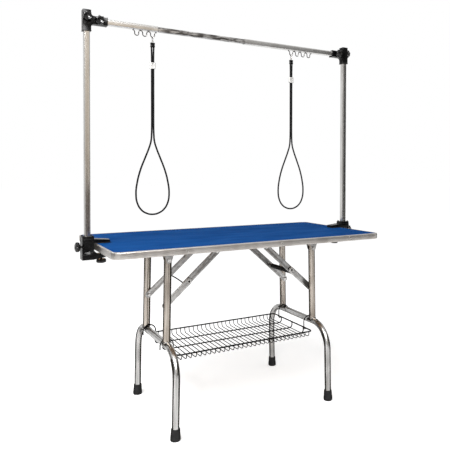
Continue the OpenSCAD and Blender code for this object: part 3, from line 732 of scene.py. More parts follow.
    def bore(self, cutter: "Piece") -> "Piece":
        """Cuts another piece's form out of this one and removes it.

        Args:
            cutter: Piece that has the form of the hole.

        Returns:
            The piece.
        """
        self.hold()
        modifier = self.obj.modifiers.new("hole", "BOOLEAN")
        modifier.operation, modifier.solver, modifier.object = "DIFFERENCE", "EXACT", cutter.obj
        bpy.ops.object.modifier_apply(modifier=modifier.name)
        cutter.drop()
        return self

    def drill(self, radius: float, at: Point, out: Point, depth: float) -> "Piece":
        """Drills a round hole.

        Args:
            radius: Radius of the hole in metres.
            at: Middle of the hole in metres.
            out: Direction of its axis.
            depth: Length of the hole on both sides of the middle.

        Returns:
            The piece.
        """
        bit = Piece.disc("drill_bit", radius, (0, 0, -depth), 32)
        bit.pick_faces().extrude((0, 0, 2 * depth))
        bit.outward().obj.data.transform(aim(at, out))
        return self.bore(bit)

    def outward(self) -> "Piece":
        """Merges doubles and points all faces outwards.

        Returns:
            The piece.
        """
        self.hold()
        bpy.ops.object.mode_set(mode="EDIT")
        bpy.ops.mesh.select_all(action="SELECT")
        bpy.ops.mesh.remove_doubles(threshold=1e-6)
        bpy.ops.mesh.normals_make_consistent(inside=False)
        bpy.ops.object.mode_set(mode="OBJECT")
        return self

    def smooth(self, angle: float = 40.0) -> "Piece":
        """Shades smooth across edges that turn less than an angle.

        Args:
            angle: Least turn of an edge that stays sharp, in degrees.

        Returns:
            The piece.
        """
        self.hold()
        bpy.ops.object.shade_smooth_by_angle(angle=math.radians(angle))
        return self

    def join(self, *others: "Piece") -> "Piece":
        """Joins other pieces into this one.

        Args:
            *others: Pieces that become part of it.

        Returns:
            The piece.
        """
        self.hold()
        for other in others:
            other.obj.select_set(True)
        bpy.ops.object.join()
        return self

    def copy(self, name: str, place: Matrix) -> "Piece":
        """Copies the piece with its own mesh, moved to a place.

        Args:
            name: Name of the copy.
            place: Move of the copy, a mirror included.

        Returns:
            The copy.
        """
        self.hold()
        bpy.ops.object.duplicate(linked=False)
        twin = Piece.__new__(Piece)
        twin.obj = bpy.context.active_object
        twin.obj.name = twin.obj.data.name = name
        twin.obj.data.transform(place)
        if place.determinant() < 0:
            twin.obj.data.flip_normals()
        return twin

    def drop(self) -> None:
        """Removes a piece that was only a pattern or a cutter."""
        mesh = self.obj.data
        bpy.data.objects.remove(self.obj)
        bpy.data.meshes.remove(mesh)

    def paint(self, *materials: bpy.types.Material) -> "Piece":
        """Gives the piece its materials, the first one everywhere.

        Args:
            *materials: Materials in the order of their numbers.

        Returns:
            The piece.
        """
        self.obj.data.materials.clear()
        for material in materials:
            self.obj.data.materials.append(material)
        return self

    def mount(self, body: str, slot: str, *nodes: str) -> "Piece":
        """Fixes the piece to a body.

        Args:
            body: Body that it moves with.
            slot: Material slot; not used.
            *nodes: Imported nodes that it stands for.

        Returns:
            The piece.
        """
        free_hands()
        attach(self.obj, body)
        if nodes:
            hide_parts(*nodes)
        log.info("%s rides on %s", self.obj.name, body)
        return self


def aim(origin: Point, out: Point) -> Matrix:
    """Matrix that takes +Z at the origin to a direction at a place.

    Args:
        origin: Place in metres.
        out: Direction that +Z turns to.

    Returns:
        The matrix.
    """
    turn = Vector((0, 0, 1)).rotation_difference(Vector(out)).to_matrix().to_4x4()
    return Matrix.Translation(Vector(origin)) @ turn


@dataclass
class Studio:
    """Camera, floor, lamps and white surroundings."""

    eye: Point = (-1.032029, -2.177291, 1.004538)
    yaw: float = 0.551
    pitch: float = 0.0182
    roll: float = -0.0031
    focal_px: float = 546.42
    centre_px: Point = (291.27, 179.1)
    frame_px: float = 450.0
    sensor: float = 36.0
    sky: float = 0.36
    lift: float = 0.545
    leg_x: float = 0.341
    upright_levels: Point = (0.32, 0.66)
    lower_levels: Point = (0.0, 0.30)
    flag_turns: Point = (150, 343)
    flag_gap: float = 0.026
    flag_half: float = 0.014
    lower_flag_half: float = 0.021
    flag_tone: str = "#3c3733"
    floor_size: float = 60.0
    floor_drop: float = 0.5 * MM

    def camera(self) -> None:
        """Sets the camera at the photograph's viewpoint."""
        ahead = Vector((math.sin(self.yaw) * math.cos(self.pitch), math.cos(self.yaw) * math.cos(self.pitch),
                        -math.sin(self.pitch)))
        level = Vector((math.cos(self.yaw), -math.sin(self.yaw), 0.0))
        down = ahead.cross(level)
        right = math.cos(self.roll) * level + math.sin(self.roll) * down
        up = right.cross(ahead)
        data = bpy.data.cameras.new("photo_camera")
        data.sensor_fit, data.sensor_width = "HORIZONTAL", self.sensor
        data.lens = self.focal_px / self.frame_px * self.sensor
        data.shift_x = (self.frame_px / 2 - self.centre_px[0]) / self.frame_px
        data.shift_y = (self.centre_px[1] - self.frame_px / 2) / self.frame_px
        obj = bpy.data.objects.new("photo_camera", data)
        turn = Matrix((right, up, -ahead)).transposed().to_4x4()
        obj.matrix_world = Matrix.Translation(Vector(self.eye)) @ turn
        bpy.context.scene.collection.objects.link(obj)
        bpy.context.scene.camera = obj

    def seen(self, tree: Tree) -> Socket:
        """Tells what the eye, gloss and glass see from what only lights.

        Args:
            tree: Node tree of the surroundings.

        Returns:
            One for a ray that shows the surroundings, zero for light.
        """
        path = add(tree, "ShaderNodeLightPath")
        shown = path.outputs["Is Camera Ray"]
        for kind in ("Is Glossy Ray", "Is Transmission Ray"):
            either = add(tree, "ShaderNodeMath", {0: shown, 1: path.outputs[kind]}, operation="MAXIMUM")
            shown = either.outputs[0]
        return shown

    def world(self) -> None:
        """Makes the surroundings white to the eye and in reflections, and plain as light."""
        world = bpy.data.worlds.new("white_room")
        bpy.context.scene.world = world
        world.use_nodes = True
        tree = world.node_tree
        tree.nodes.clear()
        level = add(tree, "ShaderNodeMapRange", {0: self.seen(tree), 1: 0.0, 2: 1.0, 3: self.sky, 4: 1.0})
        sky = add(tree, "ShaderNodeBackground", {"Color": (1, 1, 1, 1), "Strength": level.outputs[0]})
        add(tree, "ShaderNodeOutputWorld", {"Surface": sky.outputs[0]})

    def floor(self) -> None:
        """Lays a white floor that keeps the table's shadow."""
        free_hands()
        bpy.ops.mesh.primitive_plane_add(size=self.floor_size, location=(0, 0, -self.floor_drop))
        floor = bpy.context.active_object
        floor.name = "studio_floor"
        material, tree = blank("studio_floor_white")
        lift = add(tree, "ShaderNodeMath", {0: self.seen(tree), 1: self.lift}, operation="MULTIPLY")
        shader = add(tree, "ShaderNodeBsdfPrincipled", {
            "Base Color": linear("#f2f2f2"), "Roughness": 0.9, "Specular IOR Level": 0.0,
            "Emission Color": (1, 1, 1, 1), "Emission Strength": lift.outputs[0],
        })
        add(tree, "ShaderNodeOutputMaterial", {"Surface": shader.outputs[0]})
        floor.data.materials.append(material)

    def sun(self, name: str, toward: Point, strength: float, spread: float) -> None:
        """Adds an even, soft light.

        Args:
            name: Name of the light.
            toward: Direction in which it shines.
            strength: Light on a surface that faces it.
            spread: Angle of its disc in degrees.
        """
        data = bpy.data.lights.new(name, "SUN")
        data.energy, data.angle = strength, math.radians(spread)
        obj = bpy.data.objects.new(name, data)
        obj.matrix_world = aim((0, 0, 4), -Vector(toward))
        bpy.context.scene.collection.objects.link(obj)

    def lamp(self, name: str, at: Point, to: Point, size: float, watts: float) -> None:
        """Hangs a soft lamp that polished surfaces don't show.

        Args:
            name: Name of the lamp.
            at: Place in metres.
            to: Point that it faces.
            size: Side of the lamp in metres.
            watts: Power.
        """
        data = bpy.data.lights.new(name, "AREA")
        data.size, data.energy = size, watts
        obj = bpy.data.objects.new(name, data)
        obj.matrix_world = aim(at, Vector(at) - Vector(to))
        obj.visible_camera = obj.visible_glossy = False
        bpy.context.scene.collection.objects.link(obj)

    def flag(self, name: str, corners: Sequence[Point], low: str, high: str, strength: float = 1.0) -> None:
        """Puts up a toned card that only polished surfaces show.

        Args:
            name: Name of the card.
            corners: Its two lower and two upper corners in metres, in turn.
            low: Colour at its lowest point.
            high: Colour at its highest point.
            strength: Its brightness, where one is as bright as its colour.
        """
        free_hands()
        bpy.ops.mesh.primitive_plane_add(size=1)
        card = bpy.context.active_object
        card.name = name
        for vert, index in zip(card.data.vertices, (0, 1, 3, 2)):
            vert.co = corners[index]
        heights = [c[2] for c in corners]
        material, tree = blank(name)
        place = add(tree, "ShaderNodeTexCoord")
        split = add(tree, "ShaderNodeSeparateXYZ", {0: place.outputs["Object"]})
        rise = add(tree, "ShaderNodeMapRange", {0: split.outputs[2], 1: min(heights), 2: max(heights) + MM})
        tone = add(tree, "ShaderNodeMix", {
            0: rise.outputs[0], 6: linear(low), 7: linear(high),
        }, data_type="RGBA")
        glow = add(tree, "ShaderNodeEmission", {"Color": tone.outputs[2], "Strength": strength})
        add(tree, "ShaderNodeOutputMaterial", {"Surface": glow.outputs[0]})
        card.data.materials.append(material)
        card.visible_camera = card.visible_diffuse = card.visible_shadow = card.visible_transmission = False

    def softbox(self, at: Point, to: Point, size: float, strength: float) -> None:
        """Hangs a bright panel whose light shows only as highlights on gloss.

        Args:
            at: Place in metres.
            to: Point that it faces.
            size: Side of the panel in metres.
            strength: Its brightness, where one is white.
        """
        place, half = aim(at, Vector(to) - Vector(at)), size / 2
        plan = ((-half, -half), (half, -half), (half, half), (-half, half))
        self.flag("softbox", [place @ Vector((x, y, 0)) for x, y in plan], "#ffffff", "#ffffff", strength)

    def wall(self, name: str, start: Point, end: Point, heights: Point, low: str, high: str) -> None:
        """Stands a card up on a line of the floor, between its lowest and its highest level."""
        bottom, top = heights
        self.flag(name, [(*start, bottom), (*end, bottom), (*end, top), (*start, top)], low, high)

    def tube_flags(self) -> None:
        """Stands a dark card on both sides of each leg tube, which draws its dark edges."""
        tubes = ((UPRIGHT_Y, self.upright_levels, self.flag_half),
                 (FOOT_Y, self.lower_levels, self.lower_flag_half))
        for x in (-self.leg_x, self.leg_x):
            for (reach, levels, half), row, turn in product(tubes, (-1, 1), self.flag_turns):
                y = row * reach
                out = Vector((math.cos(math.radians(turn)), math.sin(math.radians(turn))))
                middle, along = Vector((x, y)) + out * self.flag_gap, out.orthogonal() * half
                self.wall(f"flag_{x:.2f}_{y:.2f}_{turn}", middle - along, middle + along, levels,
                          self.flag_tone, self.flag_tone)

    def build(self) -> None:
        """Sets up everything around the table."""
        bpy.context.scene.view_settings.view_transform = "Standard"
        self.world()
        self.floor()
        self.sun("sky_light", (0.45, 0.50, -1.0), 0.62, 35)
        self.lamp("key_lamp", (-2.3, -3.0, 2.9), (-0.2, 0, 0.8), 0.6, 55)
        self.lamp("top_lamp", (-1.8, -0.5, 2.2), (-0.6, 0, 0.7), 0.9, 36)
        self.lamp("side_lamp", (3.0, -0.4, 3.2), (0.2, 0, 0.9), 0.4, 10)
        self.wall("card_front_low", (-0.7, -4.0), (1.0, -4.0), (0.0, 0.84), "#4a3f3a", "#63564f")
        self.wall("card_front", (-0.7, -4.0), (1.0, -4.0), (0.86, 2.9), "#c9bdae", "#fff1df")
        self.wall("card_front_middle", (1.1, -4.0), (2.15, -4.0), (0.35, 3.4), "#8c8a88", "#d4d2d0")
        self.wall("card_front_right", (2.2, -4.0), (3.1, -3.9), (0.0, 3.4), "#4c4b4a", "#b9b8b7")
        self.wall("card_right_end", (3.15, -3.9), (4.8, -3.6), (0.0, 3.4), "#0e0e0e", "#4d4c4b")
        self.wall("card_left", (-4.4, -2.0), (-4.4, 0.2), (0.0, 3.0), "#3b3632", "#4a4642")
        self.wall("card_right", (4.6, -1.2), (4.6, 1.6), (0.0, 3.0), "#2e2b29", "#4a4745")
        self.wall("card_back_left", (-4.2, 1.4), (-3.3, 3.1), (0.0, 3.0), "#3b3632", "#4a4642")
        self.softbox((-1.1, -3.9, 4.2), (-0.6, 0, 1.57), 2.0, 40.0)
        self.tube_flags()
        log.info("studio ready")


@dataclass
class Assembly:
    """A sub-assembly of the table, dressed from the palette."""

    palette: Palette

    def build(self) -> None:
        """Models the pieces and mounts them, which each sub-assembly does in its own way."""
        raise NotImplementedError


@dataclass
class Noose(Assembly):
    """One noose: a cord loop, its slider and the snap that hangs it."""

    side: Side
    wave_x: float
    cord_d: float = 7 * MM
    strand: float = 4.4 * MM
    pinch: float = 3.6 * MM
    top: float = 1493.7 * MM
    straight_end: float = 1146 * MM
    straight_steps: int = 9
    loop: tuple[tuple[float, float], ...] = (
        (7, 1116), (16, 1086), (32, 1046), (50, 1000), (63, 950), (68, 905), (63, 868), (47, 840), (25, 825))
    low: float = 820 * MM
    ferrule_w: float = 17.8 * MM
    ferrule_h: float = 18 * MM
    block_t: float = 10 * MM
    slider_w: float = 23 * MM
    slider_h: float = 25 * MM
    slider_z: float = 1406.7 * MM
    ring_z: float = 1530.7 * MM
    ring_r: float = 7 * MM
    wire: float = 3.4 * MM
    slider_corner: float = 3.2 * MM
    slider_edge: float = 0.5 * MM
    thumb_rim: float = 3.0 * MM
    thumb_slope: float = 0.8 * MM
    thumb_depth: float = 1.0 * MM
    mouth_rim: float = 1.6 * MM
    mouth_slope: float = 0.5 * MM
    mouth_depth: float = 1.2 * MM
    ring_seat: float = 0.55
    ring_squash: Point = (1.25, 0.8, 1)
    ferrule_corner: float = 2.6 * MM
    ferrule_edge: float = 0.6 * MM
    crimps: tuple[float, ...] = (0.30, 0.42, 0.58, 0.70)
    crimp_zone: float = 0.1
    crimp_squash: Point = (0.93, 0.86, 1)
    swivel_lap: float = 1 * MM
    swivel_r: float = 2.6 * MM
    swivel: tuple[tuple[float, float], ...] = (
        (0.30, 1.0), (0.02, 1.45), (0.28, 1.0), (0.02, 0.70), (0.30, 1.0), (0.08, 0.6))

    def route(self) -> list[Vector]:
        """Points of the cord from one end in the ferrule to the other.

        Returns:
            The points in metres.
        """
        drop = (self.straight_end - self.top) / self.straight_steps
        last = self.straight_steps
        half = [(self.pinch if 0 < i < last else self.strand, self.top + drop * i) for i in range(last + 1)]
        half += [(x * MM, z * MM) for x, z in self.loop]
        back = [(-x, z) for x, z in reversed(half)]
        return [Vector((self.wave_x + x, 0, z)) for x, z in [*half, (0, self.low), *back]]

    def cord(self, slider: Piece) -> None:
        """Lays the cord as one smooth open curve.

        Args:
            slider: The slider on the cord; not used.
        """
        points = self.route()
        curve = bpy.data.curves.new(f"{self.side.word}_cord", "CURVE")
        curve.dimensions, curve.resolution_u = "3D", 8
        curve.bevel_depth, curve.bevel_resolution, curve.use_fill_caps = self.cord_d / 2, 5, True
        spline = curve.splines.new("BEZIER")
        spline.bezier_points.add(len(points) - 1)
        for knot, point in zip(spline.bezier_points, points):
            knot.co = point
            knot.handle_left_type = knot.handle_right_type = "AUTO"
        curve.materials.append(self.palette.cord)
        obj = bpy.data.objects.new(f"{self.side.word}_cord", curve)
        bpy.context.scene.collection.objects.link(obj)
        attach(obj, f"{self.side.word}_noose")
        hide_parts(f"{self.side.word}_noose_cord")
        log.info("%s laid", obj.name)

    def slider(self) -> Piece:
        """Models the slider: a rounded block with a sunk thumb panel.

        Returns:
            The slider.
        """
        x, w, t = self.wave_x, self.slider_w / 2, self.block_t / 2
        low, high = self.slider_z, self.slider_z + self.slider_h
        piece = Piece.block(f"{self.side.word}_slider", (x - w, -t, low), (x + w, t, high))
        piece.pick(Pick.EDGE, lambda c, d: abs(d.z) > SQUARE).bevel(self.slider_corner, 4)
        piece.pick(Pick.FACE, lambda c, n: abs(n.y) > FLAT).inset(self.thumb_rim)
        piece.inset(self.thumb_slope, -self.thumb_depth)
        piece.pick(Pick.FACE, lambda c, n: abs(n.z) > FLAT).inset(self.mouth_rim)
        piece.inset(self.mouth_slope, -self.mouth_depth)
        piece.soften(self.slider_edge).smooth().paint(self.palette.white)
        return piece.mount(f"{self.side.word}_slider", "light_plastic", f"{self.side.word}_noose_slider")

    def snap(self) -> None:
        """Models the snap: a wire ring, a turned swivel and a crimped ferrule."""
        x, w, t = self.wave_x, self.ferrule_w / 2, self.block_t / 2
        name, eye = f"{self.side.word}_snap", (x, 0, self.ring_z)
        ring = Piece.ring(name, self.ring_r, self.wire / 2, eye, (40, 12), (0, math.pi / 2, 0))
        seat = self.ring_z - self.ring_r * self.ring_seat
        ring.pick(Pick.VERT, lambda c, n: c.z < seat).grow(self.ring_squash, eye)
        foot = self.top + self.ferrule_h - self.swivel_lap
        rise = self.ring_z - self.ring_r - foot
        swivel = Piece.disc(f"{name}_swivel", self.swivel_r, (x, 0, foot), 24).pick_faces()
        swivel.stack([(rise * part, growth) for part, growth in self.swivel]).outward().smooth()
        ferrule = Piece.block(f"{name}_ferrule", (x - w, -t, self.top), (x + w, t, self.top + self.ferrule_h))
        for part in self.crimps:
            ferrule.cut((x, 0, self.top + self.ferrule_h * part), (0, 0, 1))
        waist = self.top + self.ferrule_h / 2
        ferrule.pick(Pick.VERT, lambda c, n: abs(c.z - waist) < self.ferrule_h * self.crimp_zone)
        ferrule.grow(self.crimp_squash, (x, 0, self.top))
        ferrule.pick(Pick.EDGE, lambda c, d: abs(d.z) > SQUARE).bevel(self.ferrule_corner, 4)
        ferrule.soften(self.ferrule_edge).smooth()
        ring.smooth().paint(self.palette.plated)
        swivel.paint(self.palette.plated)
        ferrule.paint(self.palette.nylon)
        ring.join(swivel, ferrule)
        ring.mount(f"{self.side.word}_noose", "bright_metal", f"{self.side.word}_noose_snap")

    def build(self) -> None:
        """Builds the noose."""
        slider = self.slider()
        self.cord(slider)
        self.snap()


@dataclass
class Knobs(Assembly):
    """All lobed knobs with their screws: one pattern, copied to each place."""

    across: float = 39 * MM
    depth: float = 16 * MM
    lobes: int = 7
    screw_d: float = 8 * MM
    clamp_screw_d: float = 10 * MM
    rim: float = 1.2 * MM
    sag: float = 3.4 * MM
    pitch: float = 1.5 * MM
    short_screw: float = 3.9 * MM
    side_screw: float = 16 * MM
    press_screw: float = 35 * MM
    valley: float = 0.40
    swell: tuple[tuple[float, float], ...] = ((0.55, 1.08), (0.20, 1.07), (-0.25, 1.05))
    waist: float = 0.84
    body: tuple[tuple[float, float], ...] = (
        (0.10, 1.0), (0.14, 1.13), (0.10, 1.05), (0.44, 1.0), (0.14, 0.955), (0.08, 0.92), (0.0, 0.74),
        (-0.25, 0.97))
    face: float = 0.36
    face_lap: float = 0.2 * MM
    face_rim: tuple[tuple[float, float], ...] = ((0.6, 0.985), (0.4, 0.96), (0.0, 0.95))
    pip: tuple[tuple[float, float], ...] = ((0.5 * MM, 0.92), (0.3 * MM, 0.75))
    rings: int = 7
    root: float = 0.84

    def pattern(self) -> Piece:
        """Models a knob about Z: its mating face at zero, its dished face on top.

        Returns:
            The knob.
        """
        knob = Piece.disc("knob_pattern", self.across * self.valley, (0, 0, 0), self.lobes * 12)
        for reach, growth in self.swell:
            knob.pick(Pick.VERT, lambda c, n, r=reach: math.cos(self.lobes * math.atan2(c.y, c.x)) > r)
            knob.grow((growth, growth, 1), (0, 0, 0))
        body = self.depth - self.rim
        knob.pick_faces().grow((self.waist, self.waist, 1), (0, 0, 0))
        knob.stack([(part * body, growth) for part, growth in self.body])
        return knob.outward().smooth(42.0).join(self.dish(body))

    def dish(self, base: float) -> Piece:
        """Models the round dished face of a knob.

        Args:
            base: Height of the lobed body in metres.

        Returns:
            The face.
        """
        bed = self.sag + self.face_lap
        face = Piece.disc("knob_face", self.across * self.face, (0, 0, base - bed), 56).pick_faces()
        face.stack([(bed, 1.0), *((self.rim * part, growth) for part, growth in self.face_rim)])
        rings = self.rings
        rise = [self.sag * (1 - (i / rings) ** 2) for i in range(rings, 0, -1)]
        steps = [(a - b, (rings - 1 - i) / (rings - i)) for i, (a, b) in enumerate(zip(rise, rise[1:]))]
        face.stack([*steps, *self.pip])
        return face.outward().smooth(42.0)

    def screw(self, name: str, diameter: float, length: float) -> Piece:
        """Models a threaded screw that goes down from zero.

        Args:
            name: Name of the screw.
            diameter: Outside diameter in metres.
            length: Length in metres.

        Returns:
            The screw.
        """
        screw = Piece.disc(name, diameter / 2 * self.root, (0, 0, -length), 24).pick_faces()
        turns = int(length / self.pitch)
        half = length / turns / 2
        screw.stack([(half, 1 / self.root), (half, self.root)] * turns)
        return screw.outward().smooth(20.0)

    def place(self, node: str, out: Point) -> Matrix:
        """Finds where a knob sits.

        Args:
            node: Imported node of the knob.
            out: Direction that its dished face looks to.

        Returns:
            Matrix that takes the pattern there.
        """
        low, high = (Vector(c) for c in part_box(node))
        at = (low + high) / 2
        axis = max(range(3), key=lambda i: abs(out[i]))
        at[axis] = high[axis] - self.depth if out[axis] > 0 else low[axis] + self.depth
        return aim(at, out)

    def build(self) -> None:
        """Builds every knob."""
        pattern = self.pattern().paint(self.palette.knob)
        short = self.screw("screw_short", self.screw_d, self.short_screw).paint(self.palette.oxide_and_hollow_shade)
        side = self.screw("screw_side", self.screw_d, self.side_screw).paint(self.palette.oxide_and_hollow_shade)
        press = self.screw("screw_press", self.clamp_screw_d, self.press_screw).paint(self.palette.oxide_and_hollow_shade)
        plan = [(f"{name}_knob", short, FRONT) for name in ("left_pole", "left_bar", "right_bar")]
        plan.append(("right_pole_knob", short, (1, 0, 0)))
        for end in Side:
            plan.append((f"{end.word}_clamp_knob", side, (end.value, 0, 0)))
            plan.append((f"{end.word}_clamp_screw", press, DOWN))
        for node, screw, out in plan:
            place = self.place(node, out)
            piece = pattern.copy(f"{node}_dressed", place)
            piece.join(screw.copy(f"{node}_thread", place))
            piece.mount(node, "knob_plastic", node)
        for spare in (pattern, short, side, press):
            spare.drop()


@dataclass
class Elbow(Assembly):
    """Corner of the arm: a sleeve on the pole and a socket for the bar."""

    pole_x: float = -606.5 * MM
    bar_z: float = 1567 * MM
    half: float = 15 * MM
    up: float = 37 * MM
    down: float = 43 * MM
    reach: float = 76 * MM
    cap: float = 8 * MM
    cap_rim: float = 3.5 * MM
    cap_slope: float = 1.5 * MM
    cap_rise: float = 1.6 * MM
    gusset: float = 11 * MM
    lip: float = 4 * MM
    bar_knob: float = 45 * MM
    pole_knob: float = 10 * MM
    flare: float = 1.07
    foot_flare: float = 1.09
    edge: float = 1.1 * MM
    drill_depth: float = 5 * MM

    def pattern(self) -> Piece:
        """Models the left elbow.

        Returns:
            The elbow.
        """
        x, z, h = self.pole_x, self.bar_z, self.half
        piece = Piece.block("left_elbow_dressed", (x - h, -h, z - self.down), (x + h, h, z + self.up))
        for level in (-self.down + self.lip, -h, h):
            piece.cut((x, 0, z + level), (0, 0, 1))
        piece.pick(Pick.FACE, lambda c, n: n.x > SQUARE and abs(c.z - z) < h * 0.5)
        piece.extrude((self.reach - self.lip - h, 0, 0)).extrude((self.lip, 0, 0))
        piece.grow((1, self.flare, self.flare), (x, 0, z))
        piece.pick(Pick.EDGE, lambda c, d: abs(d.y) > SQUARE and abs(c.x - x - h) < TOUCH
                   and abs(abs(c.z - z) - h) < TOUCH).bevel(self.gusset, 3)
        piece.pick(Pick.VERT, lambda c, n: c.z < z - self.down + TOUCH)
        piece.grow((self.foot_flare, self.foot_flare, 1), (x, 0, z))
        piece.pick(Pick.FACE, lambda c, n: n.z > SQUARE and c.z > z + self.up - TOUCH)
        piece.inset(self.cap_rim).inset(self.cap_slope, self.cap_rise)
        return piece.outward().soften(self.edge, 3, 28.0)

    def open(self, piece: Piece) -> None:
        """Cuts the elbow's square bores and the bar knob's screw hole.

        Args:
            piece: The left elbow.
        """
        x, z, b = self.pole_x, self.bar_z, BORE
        inner, roof = x + self.half + self.cap, z + self.up - self.cap
        piece.bore(Piece.block("pole_bore", (x - b, -b, z - 2 * self.down), (x + b, b, roof)))
        piece.bore(Piece.block("bar_bore", (inner, -b, z - b), (x + 2 * self.reach, b, z + b)))
        piece.drill(KNOB_HOLE, (x + self.bar_knob, -self.half, z), FRONT, self.drill_depth)

    def build(self) -> None:
        """Builds both elbows."""
        left = self.pattern()
        self.open(left)
        right = left.copy("right_elbow_dressed", Matrix.Scale(-1, 4, (1, 0, 0)))
        level = self.bar_z + self.pole_knob
        left.drill(KNOB_HOLE, (self.pole_x, -self.half, level), FRONT, self.drill_depth)
        right.drill(KNOB_HOLE, (-self.pole_x + self.half, 0, level), (1, 0, 0), self.drill_depth)
        for end, piece in ((Side.LEFT, left), (Side.RIGHT, right)):
            piece.smooth(40.0).paint(self.palette.nylon).mount("arm", "black_plastic", f"{end.word}_elbow")


@dataclass
class ArmTubes(Assembly):
    """Square tubes of the arm with rounded corners and open ends."""

    corner: float = 2.6 * MM
    wall: float = 1.5 * MM

    def tube(self, node: str, axis: int, material: bpy.types.Material) -> None:
        """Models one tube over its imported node.

        Args:
            node: Node that gives the tube's place and length.
            axis: Number of the long axis.
            material: Its material.
        """
        low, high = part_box(node)
        piece = Piece.block(f"{node}_dressed", low, high)
        piece.pick(Pick.EDGE, lambda c, d: abs(d[axis]) > SQUARE).bevel(self.corner, 4)
        piece.pick(Pick.FACE, lambda c, n: abs(n[axis]) > SQUARE).inset(self.wall).tunnel()
        piece.outward().smooth(35.0).paint(material).mount("arm", "arm_steel", node)

    def build(self) -> None:
        """Builds the five tubes."""
        for kind, axis, material in (("pole", 2, self.palette.pole), ("bar", 0, self.palette.bar)):
            for end in Side:
                self.tube(f"{end.word}_{kind}", axis, material)
        self.tube("middle_bar", 0, self.palette.inner_bar)


@dataclass
class Clamp(Assembly):
    """End clamp: a sleeve for the pole with an upper and a lower jaw."""

    end_x: float = -585 * MM
    top: float = 720 * MM
    sleeve: float = 43 * MM
    half: float = 21 * MM
    up: float = 27 * MM
    down: float = 62 * MM
    reach: float = 60 * MM
    jaw: float = 11 * MM
    pad: float = 3 * MM
    lower_top: float = -42 * MM
    lower_reach: float = 45 * MM
    lower_tip: float = 13 * MM
    proud: float = 1.6 * MM
    panel_rim: float = 2.0 * MM
    panel_slope: float = 4.0 * MM
    panel_depth: float = 4.5 * MM
    ledge: float = 4.0 * MM
    gusset: float = 14 * MM
    screw_x: float = -556 * MM
    screw_hole: float = 5.1 * MM
    screw_depth: float = 30 * MM
    side_z: float = 707.5 * MM
    side_depth: float = 12 * MM
    end_rim: float = 5 * MM
    end_slope: float = 1.2 * MM
    end_depth: float = 1.0 * MM
    root: float = 1.25
    slope: float = 0.5
    taper: float = 0.82
    ledge_zone: Point = (-40 * MM, -25 * MM)
    ledge_width: float = 0.72
    edge: float = 1.4 * MM

    def pattern(self) -> Piece:
        """Models the left clamp without its holes.

        Returns:
            The clamp.
        """
        x, z = self.end_x, self.top
        root = self.pad + self.jaw * self.root
        low, high = (x - self.sleeve, -self.half, z - self.down), (x, self.half, z + self.up)
        piece = Piece.block("left_clamp_dressed", low, high)
        for level in (self.lower_top, self.pad, root):
            piece.cut((x, 0, z + level), (0, 0, 1))
        piece.pick(Pick.FACE, lambda c, n: n.x > SQUARE and self.pad < c.z - z < root)
        piece.extrude((self.reach, 0, 0))
        piece.pick(Pick.VERT, lambda c, n: c.x > x + self.reach - TOUCH and c.z > z + self.pad + TOUCH)
        piece.move((0, 0, -self.jaw * self.slope))
        piece.pick(Pick.FACE, lambda c, n: n.x > SQUARE and c.z - z < self.lower_top)
        piece.extrude((self.lower_reach, 0, 0))
        piece.pick(Pick.VERT, lambda c, n: c.x > x + self.lower_reach - TOUCH and c.z < z - self.down + TOUCH)
        piece.move((0, 0, self.lower_top - self.lower_tip + self.down))
        corner = Vector((x, 0, z + self.lower_top))
        piece.pick(Pick.EDGE, lambda c, d: abs(d.y) > SQUARE and (c - corner).length < TOUCH)
        piece.bevel(self.gusset, 1)
        for row in (-1, 1):
            piece.pick(Pick.FACE, lambda c, n: n.y * row > SQUARE and self.pad < c.z - z < root)
            piece.extrude((0, row * self.proud, 0))
            piece.pick(Pick.FACE, lambda c, n: n.y * row > SQUARE and c.z - z < self.lower_top and c.x < x)
            piece.extrude((0, row * self.proud, 0))
        tips = (x + self.reach - TOUCH, x + self.lower_reach - TOUCH)
        piece.pick(Pick.VERT, lambda c, n: c.x > (tips[0] if c.z > z else tips[1]))
        piece.grow((1, self.taper, 1), (x, 0, z))
        piece.pick(Pick.FACE, lambda c, n: abs(n.y) > SQUARE and c.x < x
                   and self.lower_top < c.z - z < self.pad)
        piece.inset(self.panel_rim).inset(self.panel_slope, -self.panel_depth)
        floor_y = self.half - self.panel_depth
        bottom, top = self.ledge_zone
        piece.pick(Pick.VERT, lambda c, n: abs(abs(c.y) - floor_y) < TOUCH and c.x < x
                   and bottom < c.z - z < top)
        piece.grow((self.ledge_width, 1, 1), (x - self.sleeve / 2, 0, z)).move((0, 0, self.ledge))
        piece.pick(Pick.FACE, lambda c, n: n.x < -SQUARE and c.z > z + self.lower_top)
        piece.inset(self.end_rim).inset(self.end_slope, -self.end_depth)
        return piece.outward().soften(self.edge, 3, 24.0)

    def open(self, piece: Piece) -> None:
        """Cuts the pole's bore and the screws' holes.

        Args:
            piece: The left clamp.
        """
        middle, b = self.end_x - self.sleeve / 2, BORE
        low, high = self.top - 2 * self.down, self.top + 2 * self.up
        piece.bore(Piece.block("pole_bore", (middle - b, -b, low), (middle + b, b, high)))
        piece.drill(self.screw_hole, (self.screw_x, 0, self.top - self.down), (0, 0, 1), self.screw_depth)
        piece.drill(KNOB_HOLE, (self.end_x - self.sleeve, 0, self.side_z), (1, 0, 0), self.side_depth)

    def build(self) -> None:
        """Builds both clamps."""
        left = self.pattern()
        self.open(left)
        left.smooth(40.0).paint(self.palette.nylon)
        right = left.copy("right_clamp_dressed", Matrix.Scale(-1, 4, (1, 0, 0)))
        left.mount("table", "black_plastic", "left_clamp_body")
        right.mount("table", "black_plastic", "right_clamp_body")


